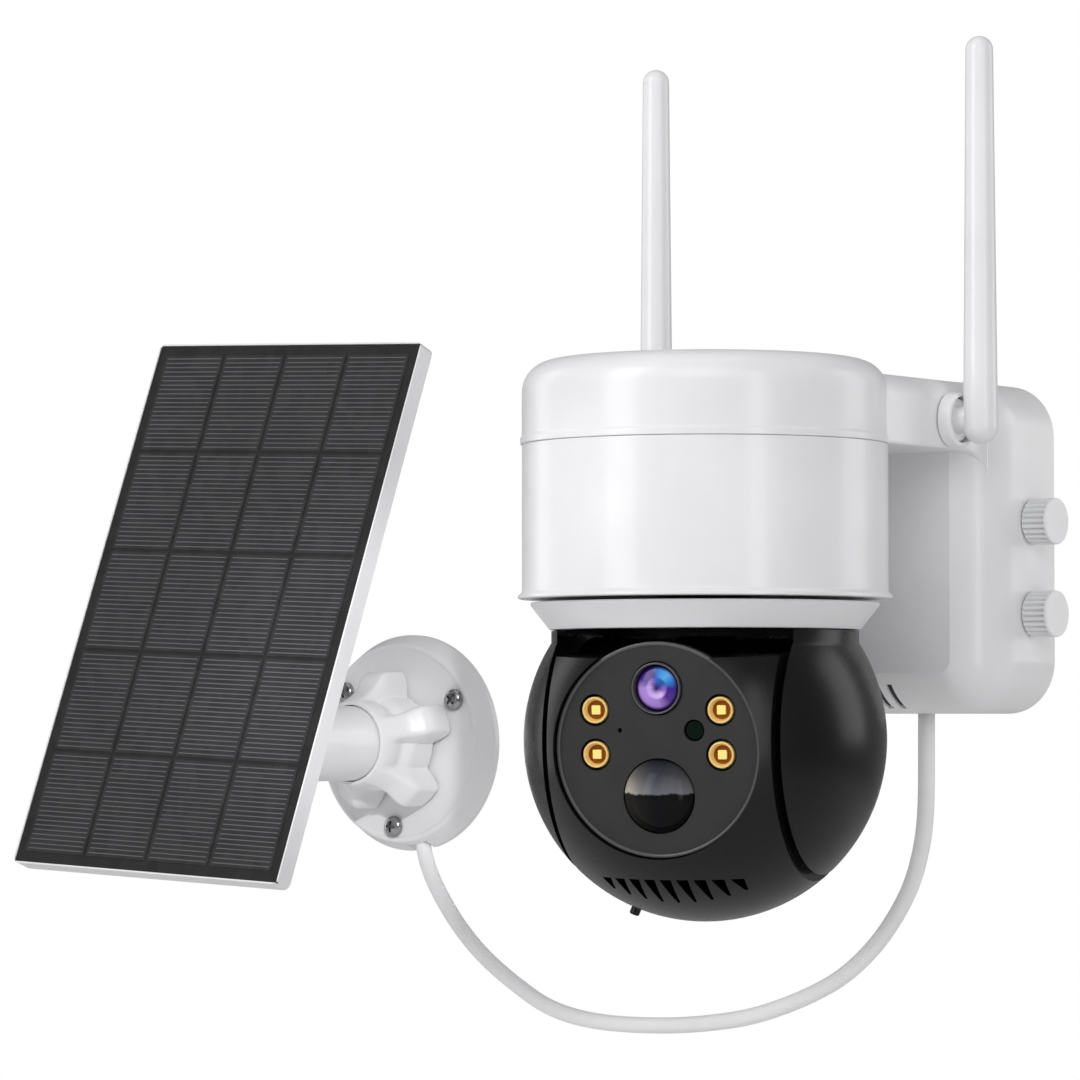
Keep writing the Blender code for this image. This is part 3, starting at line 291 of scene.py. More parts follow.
def turned(name, profile, steps=96, axis="Z", centre=(0.0, 0.0, 0.0), place=WORLD):
    """A solid of revolution: profile is (radius, height) points, closed on itself or on the axis."""
    shape = bmesh.new()
    corners = [shape.verts.new((radius, 0.0, height)) for radius, height in profile]
    edges = [shape.edges.new(pair) for pair in zip(corners, corners[1:])]
    if profile[0][0] > 0.0 or profile[-1][0] > 0.0:
        edges.append(shape.edges.new((corners[-1], corners[0])))
    bmesh.ops.spin(
        shape,
        geom=corners + edges,
        cent=(0.0, 0.0, 0.0),
        axis=(0.0, 0.0, 1.0),
        angle=math.tau,
        steps=steps,
        use_merge=True,
    )
    bmesh.ops.remove_doubles(shape, verts=shape.verts, dist=WELD)
    shape.normal_update()
    hubs = [corner for corner in shape.verts if is_flat_hub(corner)]
    bmesh.ops.dissolve_verts(shape, verts=hubs)
    bmesh.ops.transform(shape, matrix=Matrix.Translation(centre) @ AXES[axis], verts=shape.verts)
    return finish(shape, name, place)


def cylinder(name, radius, low, high, steps=48, axis="Z", centre=(0.0, 0.0, 0.0), place=WORLD):
    profile = ((0.0, low), (radius, low), (radius, high), (0.0, high))
    return turned(name, profile, steps, axis, centre, place)


def push(shape, points, by):
    """Adds a face through the points to the bmesh and extrudes it by a vector."""
    face = shape.faces.new([shape.verts.new(point) for point in points])
    raised = bmesh.ops.extrude_face_region(shape, geom=[face])["geom"]
    moved = [item for item in raised if isinstance(item, bmesh.types.BMVert)]
    bmesh.ops.translate(shape, vec=by, verts=moved)


def extruded(name, outline, low, high, axis="Z", centre=(0.0, 0.0, 0.0), place=WORLD):
    """A prism: outline is (x, y) points, and low and high are its ends along its axis."""
    shape = bmesh.new()
    push(shape, [(x, y, low) for x, y in outline], (0.0, 0.0, high - low))
    bmesh.ops.transform(shape, matrix=Matrix.Translation(centre) @ AXES[axis], verts=shape.verts)
    return finish(shape, name, place)


def side_prism(name, side, low, high, place=WORLD):
    """A prism along X: side is its (y, z) points, and low and high are its ends."""
    shape = bmesh.new()
    push(shape, [(low, y, z) for y, z in side], (high - low, 0.0, 0.0))
    return finish(shape, name, place)


def lofted(name, rings, place=WORLD):
    """A solid through rings of points, each ring with the same number of them."""
    shape = bmesh.new()
    loops = [[shape.verts.new(point) for point in ring] for ring in rings]
    count = len(loops[0])
    for first, second in zip(loops, loops[1:]):
        for i in range(count):
            after = (i + 1) % count
            shape.faces.new((first[i], first[after], second[after], second[i]))
    shape.faces.new(loops[0])
    shape.faces.new(loops[-1])
    return finish(shape, name, place)


def add_block(shape, size, centre):
    made = bmesh.ops.create_cube(shape, size=1.0)["verts"]
    bmesh.ops.scale(shape, vec=size, verts=made)
    bmesh.ops.translate(shape, vec=centre, verts=made)


def block(name, size, centre=(0.0, 0.0, 0.0), place=WORLD):
    shape = bmesh.new()
    add_block(shape, size, centre)
    return finish(shape, name, place)


def combine(target, others, operation):
    """Applies one Boolean after another to target, and removes the other objects."""
    for other in others:
        modifier = target.modifiers.new("combine", "BOOLEAN")
        modifier.operation = operation
        modifier.solver = "EXACT"
        modifier.object = other
        bpy.context.view_layer.update()
        graph = bpy.context.evaluated_depsgraph_get()
        result = bpy.data.meshes.new_from_object(target.evaluated_get(graph))
        shape = bmesh.new()
        shape.from_mesh(result)
        bmesh.ops.remove_doubles(shape, verts=shape.verts, dist=10 * WELD * MM)
        bmesh.ops.dissolve_degenerate(shape, edges=shape.edges, dist=WELD * MM)
        shape.to_mesh(result)
        shape.free()
        target.modifiers.clear()
        target.data = result
        bpy.data.objects.remove(other, do_unlink=True)
    return target


def cut(target, *cutters):
    return combine(target, cutters, "DIFFERENCE")


def join(target, *others):
    return combine(target, others, "UNION")


def keep(target, *others):
    return combine(target, others, "INTERSECT")


def soften(piece, width=0.3, angle=35.0, segments=2):
    """Rounds the piece's sharp edges, and shades it so that its flat faces stay flat."""
    if width:
        bevel = piece.modifiers.new("edges", "BEVEL")
        bevel.width = width * MM
        bevel.segments = segments
        bevel.limit_method = "ANGLE"
        bevel.angle_limit = math.radians(angle)
    piece.data.shade_smooth()
    piece.data.set_sharp_from_angle(angle=math.radians(angle))
    normals = piece.modifiers.new("normals", "WEIGHTED_NORMAL")
    normals.keep_sharp = True
    return piece


def settle(piece):
    """Moves the piece's place into its mesh, so that its box is measured along the world's axes."""
    piece.data.transform(piece.matrix_world)
    piece.matrix_world = WORLD


def dress(piece, look, slot, body, *nodes):
    """Gives a finished piece its material, its body and the CAD nodes that it stands for."""
    piece.data.materials.clear()
    piece.data.materials.append(look)
    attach(piece, body)
    if nodes:
        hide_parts(*nodes)
    return piece


# ---------------------------------------------------------------- materials


class Shader:
    """A material's nodes, added one after another."""

    def __init__(self, name):
        self.material = bpy.data.materials.new(name)
        self.material.use_nodes = True
        self.tree = self.material.node_tree
        self.principled = self.tree.nodes["Principled BSDF"]
        self.place = self.node("ShaderNodeTexCoord").outputs["Object"]

    def node(self, kind, **settings):
        made = self.tree.nodes.new(kind)
        for key, value in settings.items():
            setattr(made, key, value)
        return made

    def link(self, source, target):
        self.tree.links.new(source, target)

    def noise(self, scale, detail=3.0, stretch=(1.0, 1.0, 1.0)):
        """Noise from 0 to 1. Its scale is in features per metre."""
        mapping = self.node("ShaderNodeMapping")
        mapping.inputs["Scale"].default_value = stretch
        self.link(self.place, mapping.inputs["Vector"])
        made = self.node("ShaderNodeTexNoise")
        made.inputs["Scale"].default_value = scale
        made.inputs["Detail"].default_value = detail
        self.link(mapping.outputs["Vector"], made.inputs["Vector"])
        return made.outputs["Fac"]

    def spread(self, value, low, high):
        """A number from low to high for a noise's middle range."""
        made = self.node("ShaderNodeMapRange")
        made.inputs["From Min"].default_value = 0.3
        made.inputs["From Max"].default_value = 0.7
        made.inputs["To Min"].default_value = low
        made.inputs["To Max"].default_value = high
        self.link(value, made.inputs["Value"])
        return made.outputs["Result"]

    def ramp(self, value, stops, interpolation="LINEAR"):
        made = self.node("ShaderNodeValToRGB")
        made.color_ramp.interpolation = interpolation
        elements = made.color_ramp.elements
        while len(elements) < len(stops):
            elements.new(0.5)
        for element, (position, colour) in zip(elements, stops):
            element.position = position
            element.color = (*colour, 1.0)
        self.link(value, made.inputs["Fac"])
        return made.outputs["Color"]

    def maths(self, operation, first, second=None):
        made = self.node("ShaderNodeMath", operation=operation)
        for socket, value in zip(made.inputs, (first, second)):
            if value is None:
                continue
            if isinstance(value, (int, float)):
                socket.default_value = value
            else:
                self.link(value, socket)
        return made.outputs["Value"]

    def blend(self, share, first, second, kind="MIX"):
        """Mixes two colours. Each value is either a socket or a constant."""
        made = self.node("ShaderNodeMix", data_type="RGBA", blend_type=kind)
        for key, value in (("Factor", share), ("A", first), ("B", second)):
            if isinstance(value, bpy.types.NodeSocket):
                self.link(value, made.inputs[key])
            else:
                made.inputs[key].default_value = value
        return made.outputs["Result"]

    def axes(self):
        made = self.node("ShaderNodeSeparateXYZ")
        self.link(self.place, made.inputs["Vector"])
        return made.outputs

    def bump(self, height, strength, depth=0.0001):
        made = self.node("ShaderNodeBump")
        made.inputs["Strength"].default_value = strength
        made.inputs["Distance"].default_value = depth
        self.link(height, made.inputs["Height"])
        self.link(made.outputs["Normal"], self.principled.inputs["Normal"])

    def set(self, **values):
        for key, value in values.items():
            self.principled.inputs[key.replace("_", " ")].default_value = value

    def drive(self, key, source):
        self.link(source, self.principled.inputs[key])


def moulded(
    name, colour, roughness, grain=900.0, relief=0.12, shift=0.03, coat=0.0, shine=0.5, wear=0.12
):
    """Moulded plastic: a fine grain, slightly uneven gloss and a faint drift in its colour."""
    shader = Shader(name)
    drift = shader.noise(35.0, 4.0)
    darker = tuple(channel * (1.0 - shift) for channel in colour)
    lighter = tuple(min(channel * (1.0 + shift), 1.0) for channel in colour)
    shader.drive("Base Color", shader.ramp(drift, ((0.3, darker), (0.7, lighter))))
    gloss = shader.spread(shader.noise(160.0, 5.0), roughness * (1 - wear), roughness * (1 + wear))
    shader.drive("Roughness", gloss)
    shader.bump(shader.noise(grain * 2.2, 2.0), relief, 0.00006)
    shader.set(Coat_Weight=coat, Coat_Roughness=0.12, Specular_IOR_Level=shine)
    return shader.material


def brushed(name, colour, roughness, stretch=(1.0, 1.0, 24.0)):
    """Steel with fine parallel lines and a few duller patches."""
    shader = Shader(name)
    lines = shader.noise(900.0, 4.0, stretch)
    darker = tuple(channel * 0.86 for channel in colour)
    shader.drive("Base Color", shader.ramp(shader.noise(90.0), ((0.3, darker), (0.7, colour))))
    shader.drive("Roughness", shader.spread(lines, roughness * 0.75, roughness * 1.3))
    shader.bump(lines, 0.15, 0.00004)
    shader.set(Metallic=1.0)
    return shader.material


def solder_mask(name):
    """Circuit board: green mask over raised copper tracks."""
    shader = Shader(name)
    cells = shader.node("ShaderNodeTexVoronoi", feature="DISTANCE_TO_EDGE", distance="CHEBYCHEV")
    cells.inputs["Scale"].default_value = 420.0
    shader.link(shader.place, cells.inputs["Vector"])
    tracks = ((0.04, (0.05, 0.3, 0.14)), (0.09, (0.015, 0.13, 0.055)))
    shader.drive("Base Color", shader.ramp(cells.outputs["Distance"], tracks))
    shader.drive("Roughness", shader.spread(shader.noise(200.0), 0.3, 0.45))
    shader.bump(cells.outputs["Distance"], 0.1, 0.00005)
    return shader.material


# Painted reflections on the lens's glass: colours round it, from its left side round by its bottom, its
# right and its top
GLASS_REFLECTION_SWIRL = (
    (0.0, (0.42, 0.25, 0.66)), (0.12, (0.4, 0.24, 0.68)), (0.27, (0.36, 0.2, 0.62)),
    (0.38, (0.08, 0.02, 0.25)), (0.5, (0.05, 0.02, 0.28)), (0.56, (0.03, 0.2, 0.62)),
    (0.64, (0.09, 0.42, 0.8)), (0.72, (0.06, 0.27, 0.7)), (0.79, (0.05, 0.01, 0.2)),
    (0.92, (0.06, 0.02, 0.26)), (1.0, (0.42, 0.25, 0.66)),
)
# Painted reflections nearer the glass's middle, round it in the same order
GLASS_REFLECTION_CORE = (
    (0.0, (0.5, 0.34, 0.78)), (0.35, (0.72, 0.5, 0.92)), (0.45, (0.3, 0.16, 0.6)),
    (0.6, (0.02, 0.09, 0.36)), (0.75, (0.05, 0.12, 0.5)), (0.85, (0.24, 0.12, 0.5)),
    (1.0, (0.6, 0.42, 0.86)),
)


def lens_coating_painted_reflection():
    """Coated front glass: violet, with painted reflections in its colour, a blue glint at its upper
    right and a lilac one opposite.
    """
    shader = Shader("lens_coating_painted_reflection")
    across, _, up = shader.axes()
    square = shader.maths("ADD", shader.maths("POWER", across, 2.0), shader.maths("POWER", up, 2.0))
    radius = shader.maths("DIVIDE", shader.maths("SQRT", square), GLASS_RADIUS * MM)
    heading = shader.maths("ARCTAN2", up, across)
    bearing = shader.maths("ADD", shader.maths("DIVIDE", heading, math.tau), 0.5)
    # Base colour: painted reflections that change round the glass
    colour = shader.ramp(bearing, GLASS_REFLECTION_CORE)
    reflection_swirl = shader.ramp(bearing, GLASS_REFLECTION_SWIRL)
    layers = (
        ((0.03, 0.02, 0.16, 1.0), (0.05, 1.0), (0.3, 0.0)),
        (reflection_swirl, (0.4, 0.0), (0.5, 1.0)),
        ((0.02, 0.006, 0.1, 1.0), (0.8, 0.0), (0.92, 1.0)),
    )
    for source, *stops in layers:
        share = shader.ramp(radius, [(position, (value,) * 3) for position, value in stops])
        colour = shader.blend(share, colour, source)
    shader.drive("Base Color", colour)
    shader.set(Roughness=0.15, Specular_IOR_Level=0.3)
    return shader.material


def sensor_dome():
    """Glossy dark lens with a painted reflection in its colour: smoky grey above its middle, lighter at
    one side, and black below.
    """
    shader = Shader("sensor_dome")
    across, _, up = shader.axes()
    # Painted reflection of a horizon just above the middle, with a ragged edge, fading upwards and
    # black below
    ripple = shader.maths("MULTIPLY", shader.noise(330.0, 5.0, (1.0, 0.0, 0.0)), 0.0021)
    level = shader.maths("DIVIDE", shader.maths("SUBTRACT", up, ripple), 2 * PIR_RADIUS * MM)
    level = shader.maths("ADD", level, 0.53)
    greys = ((0.0, (0.006,) * 3), (0.5, (0.007,) * 3), (0.525, (0.15, 0.15, 0.155)))
    greys += ((0.75, (0.06, 0.06, 0.067)), (0.97, (0.012, 0.012, 0.013)))
    painted_reflection = shader.ramp(level, greys)
    # Painted reflection, lighter and warmer towards one side
    side = shader.maths("DIVIDE", across, PIR_RADIUS * MM)
    side = shader.maths("ADD", shader.maths("MULTIPLY", side, 0.5), 0.5)
    reflection_side_tints = ((0.08, (3.4, 3.1, 2.6)), (0.3, (1.5, 1.45, 1.35)), (0.5, (0.8, 0.85, 1.0)))
    reflection_side_tint = shader.ramp(side, reflection_side_tints + ((0.85, (0.95, 0.95, 1.0)),))
    shader.drive("Base Color", shader.blend(1.0, painted_reflection, reflection_side_tint, "MULTIPLY"))
    shader.set(Roughness=0.12, Specular_IOR_Level=0.06)
    return shader.material


def silicon(name, dark, light, roughness):
    """Solar cell: dark crystal grains of slightly different greys."""
    shader = Shader(name)
    grains = shader.node("ShaderNodeTexVoronoi")
    grains.inputs["Scale"].default_value = 260.0
    shader.link(shader.place, grains.inputs["Vector"])
    shader.drive("Base Color", shader.ramp(grains.outputs["Color"], ((0.2, dark), (0.8, light))))
    shader.drive("Roughness", shader.spread(shader.noise(70.0), roughness * 0.9, roughness * 1.15))
    shader.bump(shader.noise(500.0), 0.05, 0.00005)
    shader.set(Specular_IOR_Level=0.25)
    return shader.material


white = moulded("white_shell", (0.82, 0.82, 0.835), 0.34, relief=0.03, coat=0.2)
collar_grey = moulded("collar_grey", (0.8, 0.8, 0.815), 0.38, relief=0.04)
black = moulded(
    "black_shell", (0.005, 0.005, 0.0055), 0.27, 1200.0, 0.03, shift=0.12, shine=0.26, wear=0.03
)
face_black = moulded("face_black", (0.022, 0.021, 0.021), 0.6, 1600.0, 0.2, shift=0.08, shine=0.35)
# A lighter grey copy of the face's black for the raised rims: painted highlight where they catch the
# light
rim_black_painted_highlight = moulded("rim_black_painted_highlight", (0.075, 0.075, 0.076), 0.3, relief=0.05, shift=0.1)
inner_grey = moulded("inner_grey", (0.42, 0.42, 0.44), 0.5)
acetal = moulded("gear_plastic", (0.76, 0.7, 0.54), 0.45)
wrap = moulded("cell_wrap", (0.04, 0.17, 0.46), 0.32, shift=0.08)
rubber = moulded("black_rubber", (0.03, 0.03, 0.031), 0.7, relief=0.3, shift=0.15)
jacket = moulded("cable_jacket", (0.87, 0.87, 0.88), 0.42, grain=1400.0, relief=0.05)
window_green = moulded("sensor_window", (0.0006, 0.007, 0.0026), 0.3, shift=0.3, shine=0.1)
cup_cream = moulded("lamp_cup", (0.9, 0.6, 0.2), 0.28, relief=0.04, shift=0.08, coat=0.3)
cup_brown = moulded("lamp_well", (0.28, 0.08, 0.002), 0.4, relief=0.04, shift=0.2, shine=0.1)
phosphor = moulded("lamp_chip", (1.0, 0.85, 0.26), 0.3, relief=0.04, shift=0.05, coat=0.3)
plate_steel = brushed("plate_steel", (0.6, 0.6, 0.61), 0.34)
motor_steel = brushed("motor_steel", (0.58, 0.58, 0.6), 0.38)
screw_steel = brushed("screw_steel", (0.36, 0.36, 0.37), 0.22, (1.0, 1.0, 1.0))
board_green = solder_mask("circuit_board")
glass = lens_coating_painted_reflection()
dome_black_painted_reflection = sensor_dome()
cell_dark = silicon("solar_cells", (0.018, 0.018, 0.02), (0.026, 0.026, 0.028), 0.5)
backing = silicon("cell_backing", (0.009, 0.009, 0.01), (0.014, 0.014, 0.015), 0.5)
finger_grey = moulded("cell_fingers", (0.088, 0.088, 0.092), 0.45, shift=0.1)


# ---------------------------------------------------------------- camera, light and floor


def aim(thing, target):
    """Turns a camera or a lamp towards a place."""
    thing.rotation_euler = (Vector(target) - thing.location).to_track_quat("-Z", "Y").to_euler()


def make_camera():
    data = bpy.data.cameras.new("camera")
    data.lens = 150.0
    data.sensor_width = 36.0
    camera = new_object("camera", data)
    camera.location = (0.65268, -1.03235, -0.04348)
    aim(camera, (-0.03345, -0.12016, 0.00057))
    bpy.context.scene.camera = camera


def area_light(name, place, size, power):
    data = bpy.data.lights.new(name, "AREA")
    data.shape = "RECTANGLE"
    data.size, data.size_y = size
    data.energy = power
    light = new_object(name, data)
    light.location = place
    aim(light, (-0.05, -0.08, 0.0))


def make_studio():
    world = bpy.data.worlds.new("studio")
    world.use_nodes = True
    nodes = world.node_tree.nodes
    links = world.node_tree.links
    nodes["Background"].inputs["Color"].default_value = (1.0, 1.0, 1.0, 1.0)
    nodes["Background"].inputs["Strength"].default_value = 0.25
    seen = nodes.new("ShaderNodeBackground")
    seen.inputs["Color"].default_value = (1.0, 1.0, 1.0, 1.0)
    mix = nodes.new("ShaderNodeMixShader")
    path = nodes.new("ShaderNodeLightPath")
    links.new(path.outputs["Is Camera Ray"], mix.inputs["Fac"])
    links.new(nodes["Background"].outputs["Background"], mix.inputs[1])
    links.new(seen.outputs["Background"], mix.inputs[2])
    links.new(mix.outputs["Shader"], nodes["World Output"].inputs["Surface"])
    bpy.context.scene.world = world
    bpy.context.scene.view_settings.view_transform = "Standard"
    area_light("key", (-0.55, -1.7, 0.75), (0.7, 1.7), 17.0)
    area_light("fill", (0.85, -1.35, 0.85), (1.0, 1.0), 6.4)
    area_light("right", (1.5, -0.72, 0.25), (0.3, 1.4), 5.0)
    area_light("top", (0.0, -0.3, 1.7), (1.2, 1.2), 3.5)
    area_light("left", (-1.7, -0.2, 0.3), (0.5, 1.4), 3.5)
    area_light("rear", (1.1, 1.3, 0.5), (0.8, 1.2), 6.0)


def make_spot():
    """A narrow lamp on the panel's bracket, which the panel shades from the key light."""
    data = bpy.data.lights.new("bracket_spot", "SPOT")
    data.energy = 31.0
    data.spot_size = math.radians(4.4)
    data.spot_blend = 0.3
    data.shadow_soft_size = 0.02
    spot = new_object("bracket_spot", data)
    spot.location = (0.7, -0.9, 0.36)
    aim(spot, (-0.176, -0.034, -0.055))


def make_floor():
    floor = turned("floor", ((0.0, -1.0), (2400.0, -1.0), (2400.0, 0.0), (0.0, 0.0)), 64)
    floor.location.z = -0.5
    floor.data.materials.append(moulded("floor", (0.86, 0.86, 0.86), 0.6, grain=60.0, shift=0.01))


# ---------------------------------------------------------------- cable


def smooth_route(points, count):
    """Even points along a Catmull-Rom curve through the route."""
    fine = []
    padded = [points[0]] + list(points) + [points[-1]]
    for i in range(1, len(padded) - 2):
        p0, p1, p2, p3 = (Vector(point) for point in padded[i - 1 : i + 3])
        for j in range(20):
            t = j / 20
            first = (p2 - p0) * t
            second = (2 * p0 - 5 * p1 + 4 * p2 - p3) * t**2
            third = (3 * p1 - p0 - 3 * p2 + p3) * t**3
            fine.append(0.5 * (2 * p1 + first + second + third))
    fine.append(Vector(points[-1]))
    lengths = [0.0]
    for before, after in zip(fine, fine[1:]):
        lengths.append(lengths[-1] + (after - before).length)
    even = []
    index = 0
    for i in range(count):
        wanted = lengths[-1] * i / (count - 1)
        while index < len(lengths) - 2 and lengths[index + 1] < wanted:
            index += 1
        span = lengths[index + 1] - lengths[index]
        even.append(fine[index].lerp(fine[index + 1], (wanted - lengths[index]) / span))
    return even, lengths[-1]


def make_cable():
    points, length = smooth_route(CABLE_ROUTE, 120)
    curve = bpy.data.curves.new("cable_jacket", "CURVE")
    curve.dimensions = "3D"
    curve.bevel_depth = CABLE_RADIUS * MM
    curve.bevel_resolution = 8
    curve.use_fill_caps = True
    spline = curve.splines.new("POLY")
    spline.points.add(len(points) - 1)
    for target, point in zip(spline.points, points):
        target.co = (*(point * MM), 1.0)
    cable = new_object("cable_jacket", curve)
    dress(cable, jacket, "cable_jacket", "wall_unit", "cable")


# ---------------------------------------------------------------- wall box and drum


def box_solid(name, inset, back, front, edge):
    """The wall box as a solid. Its front edge is an arc that meets the flat front at a slant."""
    steps = 14
    levels = [(0.0, back)]
    last = math.radians(BOX_EDGE_SWEEP)
    for i in range(steps + 1):
        angle = last * i / steps
        shrink = edge * (1 - math.cos(angle))
        levels.append((shrink, front + edge * (math.sin(last) - math.sin(angle))))
    rings = []
    for shrink, y in levels:
        outline = rounded_rectangle(
            BOX_HALF_WIDTH - inset - shrink,
            BOX_HALF_HEIGHT - inset - shrink,
            max(BOX_CORNER - inset - shrink, 2.0),
        )
        rings.append([(x, y, z) for x, z in outline])
    return lofted(name, rings)


def arm_solid():
    """The arm from the cap to the box: it widens and drops in a curve where it meets the box."""
    rings = []
    levels = [(-95.0, 0.0)]
    for i in range(11):
        angle = math.radians(90 * i / 10)
        levels.append((ARM_FLARE_END - ARM_FLARE * (1 - math.sin(angle)), 1 - math.cos(angle)))
    levels.append((ARM_FLARE_END + 8.0, 1.0))
    for y, share in levels:
        half = ARM_HALF_WIDTH + 1.6 * share
        low = SEAM - 6.0 * share
        corners = [(half, ARM_TOP, 7.0), (-half, ARM_TOP, 7.0), (-half, low, 0.8), (half, low, 0.8)]
        rings.append([(x, y, z) for x, z in rounded(corners, 10, True)])
    return lofted("arm", rings)


def make_housing():
    radius = CAP_RADIUS - 0.4
    profile = [(0.0, SEAM), (CAP_RADIUS, SEAM, 0.3), (CAP_RADIUS, SEAM + 1.6, 0.4)]
    profile += [(radius, SEAM + 2.2, 0.6), (radius, CAP_TOP, 8.0), (0.0, CAP_TOP)]
    cap = turned("cap", rounded(profile, 12), 160, place=DRUM)
    body = box_solid("housing_shell", 0.0, -0.5, -BOX_DEPTH, BOX_EDGE)
    join(body, arm_solid(), cap)
    inside = box_solid("inside", SHELL_WALL, 1.0, -BOX_DEPTH + SHELL_WALL, BOX_EDGE - SHELL_WALL)
    hollow = [(0.0, SEAM - 1.0), (43.7, SEAM - 1.0), (43.7, CAP_TOP - 8.0), (38.9, CAP_TOP - 2.6)]
    hollow += [(0.0, CAP_TOP - 2.6)]
    cut(body, inside, turned("inside_cap", hollow, 64, place=DRUM))
    cut(body, block("inside_arm", (2 * ARM_HALF_WIDTH - 6.0, 55.0, 12.5), (0, -55.0, SEAM + 9.4)))
    slots = bmesh.new()
    # Black filling in each sound slot, a little under the surface: painted shade inside the slots
    slot_shade_shape = bmesh.new()
    for i in range(-3, 5):
        centre = (SOUND_SLOT_PITCH * i, -30.0, -BOX_HALF_HEIGHT)
        add_block(slots, SOUND_SLOT_SIZE, centre)
        add_block(slot_shade_shape, [side - 0.04 for side in SOUND_SLOT_SIZE], centre)
    cut(body, finish(slots, "slots"))
    for name in ("antenna_left_fold", "antenna_right_fold"):
        at = Vector(joints[name]["pos_m"]) / MM
        at.x = math.copysign(ARM_HALF_WIDTH, at.x)
        cut(body, cylinder("bore", WIDE_BORE, -6.0, 6.0, 48, "X", at))
    for name in ("thumb_screw_upper_turn", "thumb_screw_lower_turn"):
        at = Vector(joints[name]["pos_m"]) / MM
        cut(body, cylinder("bore", SCREW_BORE, -6.0, 6.0, 32, "X", at))
    x, y, _ = CABLE_ROUTE[0]
    cut(body, cylinder("bore", WIDE_BORE, -6.0, 6.0, 48, "Z", (x, y, -BOX_HALF_HEIGHT)))
    soften(body, 0.0, 20.0)
    dress(body, white, "white_shell", "wall_unit", "main_housing")
    slot_shade = finish(slot_shade_shape, "slot_shade_filling")
    limit = box_solid("limit", SLOT_SHADE_GAP, -0.5, -BOX_DEPTH + SLOT_SHADE_GAP, BOX_EDGE - SLOT_SHADE_GAP)
    keep(slot_shade, limit)
    dress(soften(slot_shade, 0.0), rubber, "black_rubber", "wall_unit")


def make_drum():
    low = DRUM_LOW.z
    seam = SEAM - 0.06
    wall = CAP_RADIUS - 0.45
    profile = [(18.4, low + 0.1), (DRUM_RADIUS - 0.6, low, 0.2), (DRUM_RADIUS, low + 0.2, 0.1)]
    profile += [(DRUM_RADIUS, low + 0.9, 0.3), (wall, low + 1.8, 0.7), (wall, seam, 0.2)]
    profile += [(wall - 2.1, seam), (wall - 2.1, low + 3.2), (18.4, low + 3.2)]
    drum = soften(turned("drum_shell", rounded(profile), 160, place=DRUM), 0.0)
    dress(drum, white, "white_shell", "wall_unit", "drum_barrel")


def make_collar():
    bottom = COLLAR_LOW.z
    top = COLLAR_HIGH.z
    high = COLLAR_HIGH.x
    profile = [(36.0, bottom), (39.4, bottom, 0.6), (high, top - 0.6, 0.5)]
    profile += [(high - 0.2, top, 0.15), (36.0, top)]
    collar = soften(turned("collar_ring", rounded(profile), 160, place=DRUM), 0.0)
    dress(collar, collar_grey, "collar_grey", "pan_head", "turntable_collar")


def make_antennas():
    for word, side in (("left", -1), ("right", 1)):
        at = Vector(joints[f"antenna_{word}_fold"]["pos_m"])
        place = Matrix.Translation((0.0, at.y, at.z))
        axis = "X" if side > 0 else "-X"
        face = ANTENNA_SIDE - 5.2
        wall = ARM_HALF_WIDTH + 0.3
        socket = [(0.0, ARM_HALF_WIDTH - 4.0), (4.0, ARM_HALF_WIDTH - 4.0), (4.0, wall)]
        socket += [(SOCKET_RADIUS + 0.2, wall, 0.2), (SOCKET_RADIUS, face - 0.3, 0.9)]
        socket += [(5.9, face - 0.3, 0.3), (5.9, face - 2.8), (0.0, face - 2.8)]
        name = f"antenna_ring_{word}"
        ring = soften(turned(name, rounded(socket, 6), 72, axis, place=place), 0.0)
        dress(ring, white, "white_shell", "wall_unit", f"antenna_socket_{word}")
        tip = ANTENNA_TOP - at.z / MM
        rod = arc((0.0, -2.05), 4.45, -90, 0, 12) + arc((0.0, tip - 3.55), 3.55, 0, 90, 12)
        centre = (side * (ANTENNA_SIDE - 0.4), 0.0, 0.0)
        antenna = turned(f"antenna_rod_{word}", rod, 64, "Z", centre, place)
        knuckle = cylinder("knuckle", 5.4, face - 2.6, face - 1.8, 64, axis, place=place)
        neck = cylinder("neck", 3.7, face - 2.2, face + 2.0, 48, axis, place=place)
        join(antenna, knuckle, neck)
        soften(antenna, 0.25)
        dress(antenna, white, "white_shell", f"antenna_{word}", f"antenna_{word}")


def make_thumb_screws():
    for word in ("upper", "lower"):
        at = Vector(joints[f"thumb_screw_{word}_turn"]["pos_m"])
        place = Matrix.Translation(at)
        rings = []
        for out, shrink, depth in SCREW_LEVELS:
            ring = []
            for i in range(8 * SCREW_RIBS):
                angle = math.tau * i / (8 * SCREW_RIBS)
                groove = (0.5 - 0.5 * math.cos(SCREW_RIBS * angle)) ** 2
                radius = SCREW_RADIUS - shrink - depth * groove
                ring.append((out, radius * math.cos(angle), radius * math.sin(angle)))
            rings.append(ring)
        head = lofted(f"thumb_wheel_{word}", rings, place)
        join(head, cylinder("shank", 1.9, -6.4, 1.0, 32, "X", place=place))
        soften(head, 0.0, 40.0)
        body = f"thumb_screw_{word}"
        dress(head, white, "white_shell", body, body)


# ---------------------------------------------------------------- head


def ball_profile(radius, low, high, steps=72):
    start = math.degrees(math.asin(max(low / radius, -1.0)))
    end = math.degrees(math.asin(high / radius))
    return [(max(x, 0.0), y) for x, y in arc((0.0, 0.0), radius, start, end, steps)]


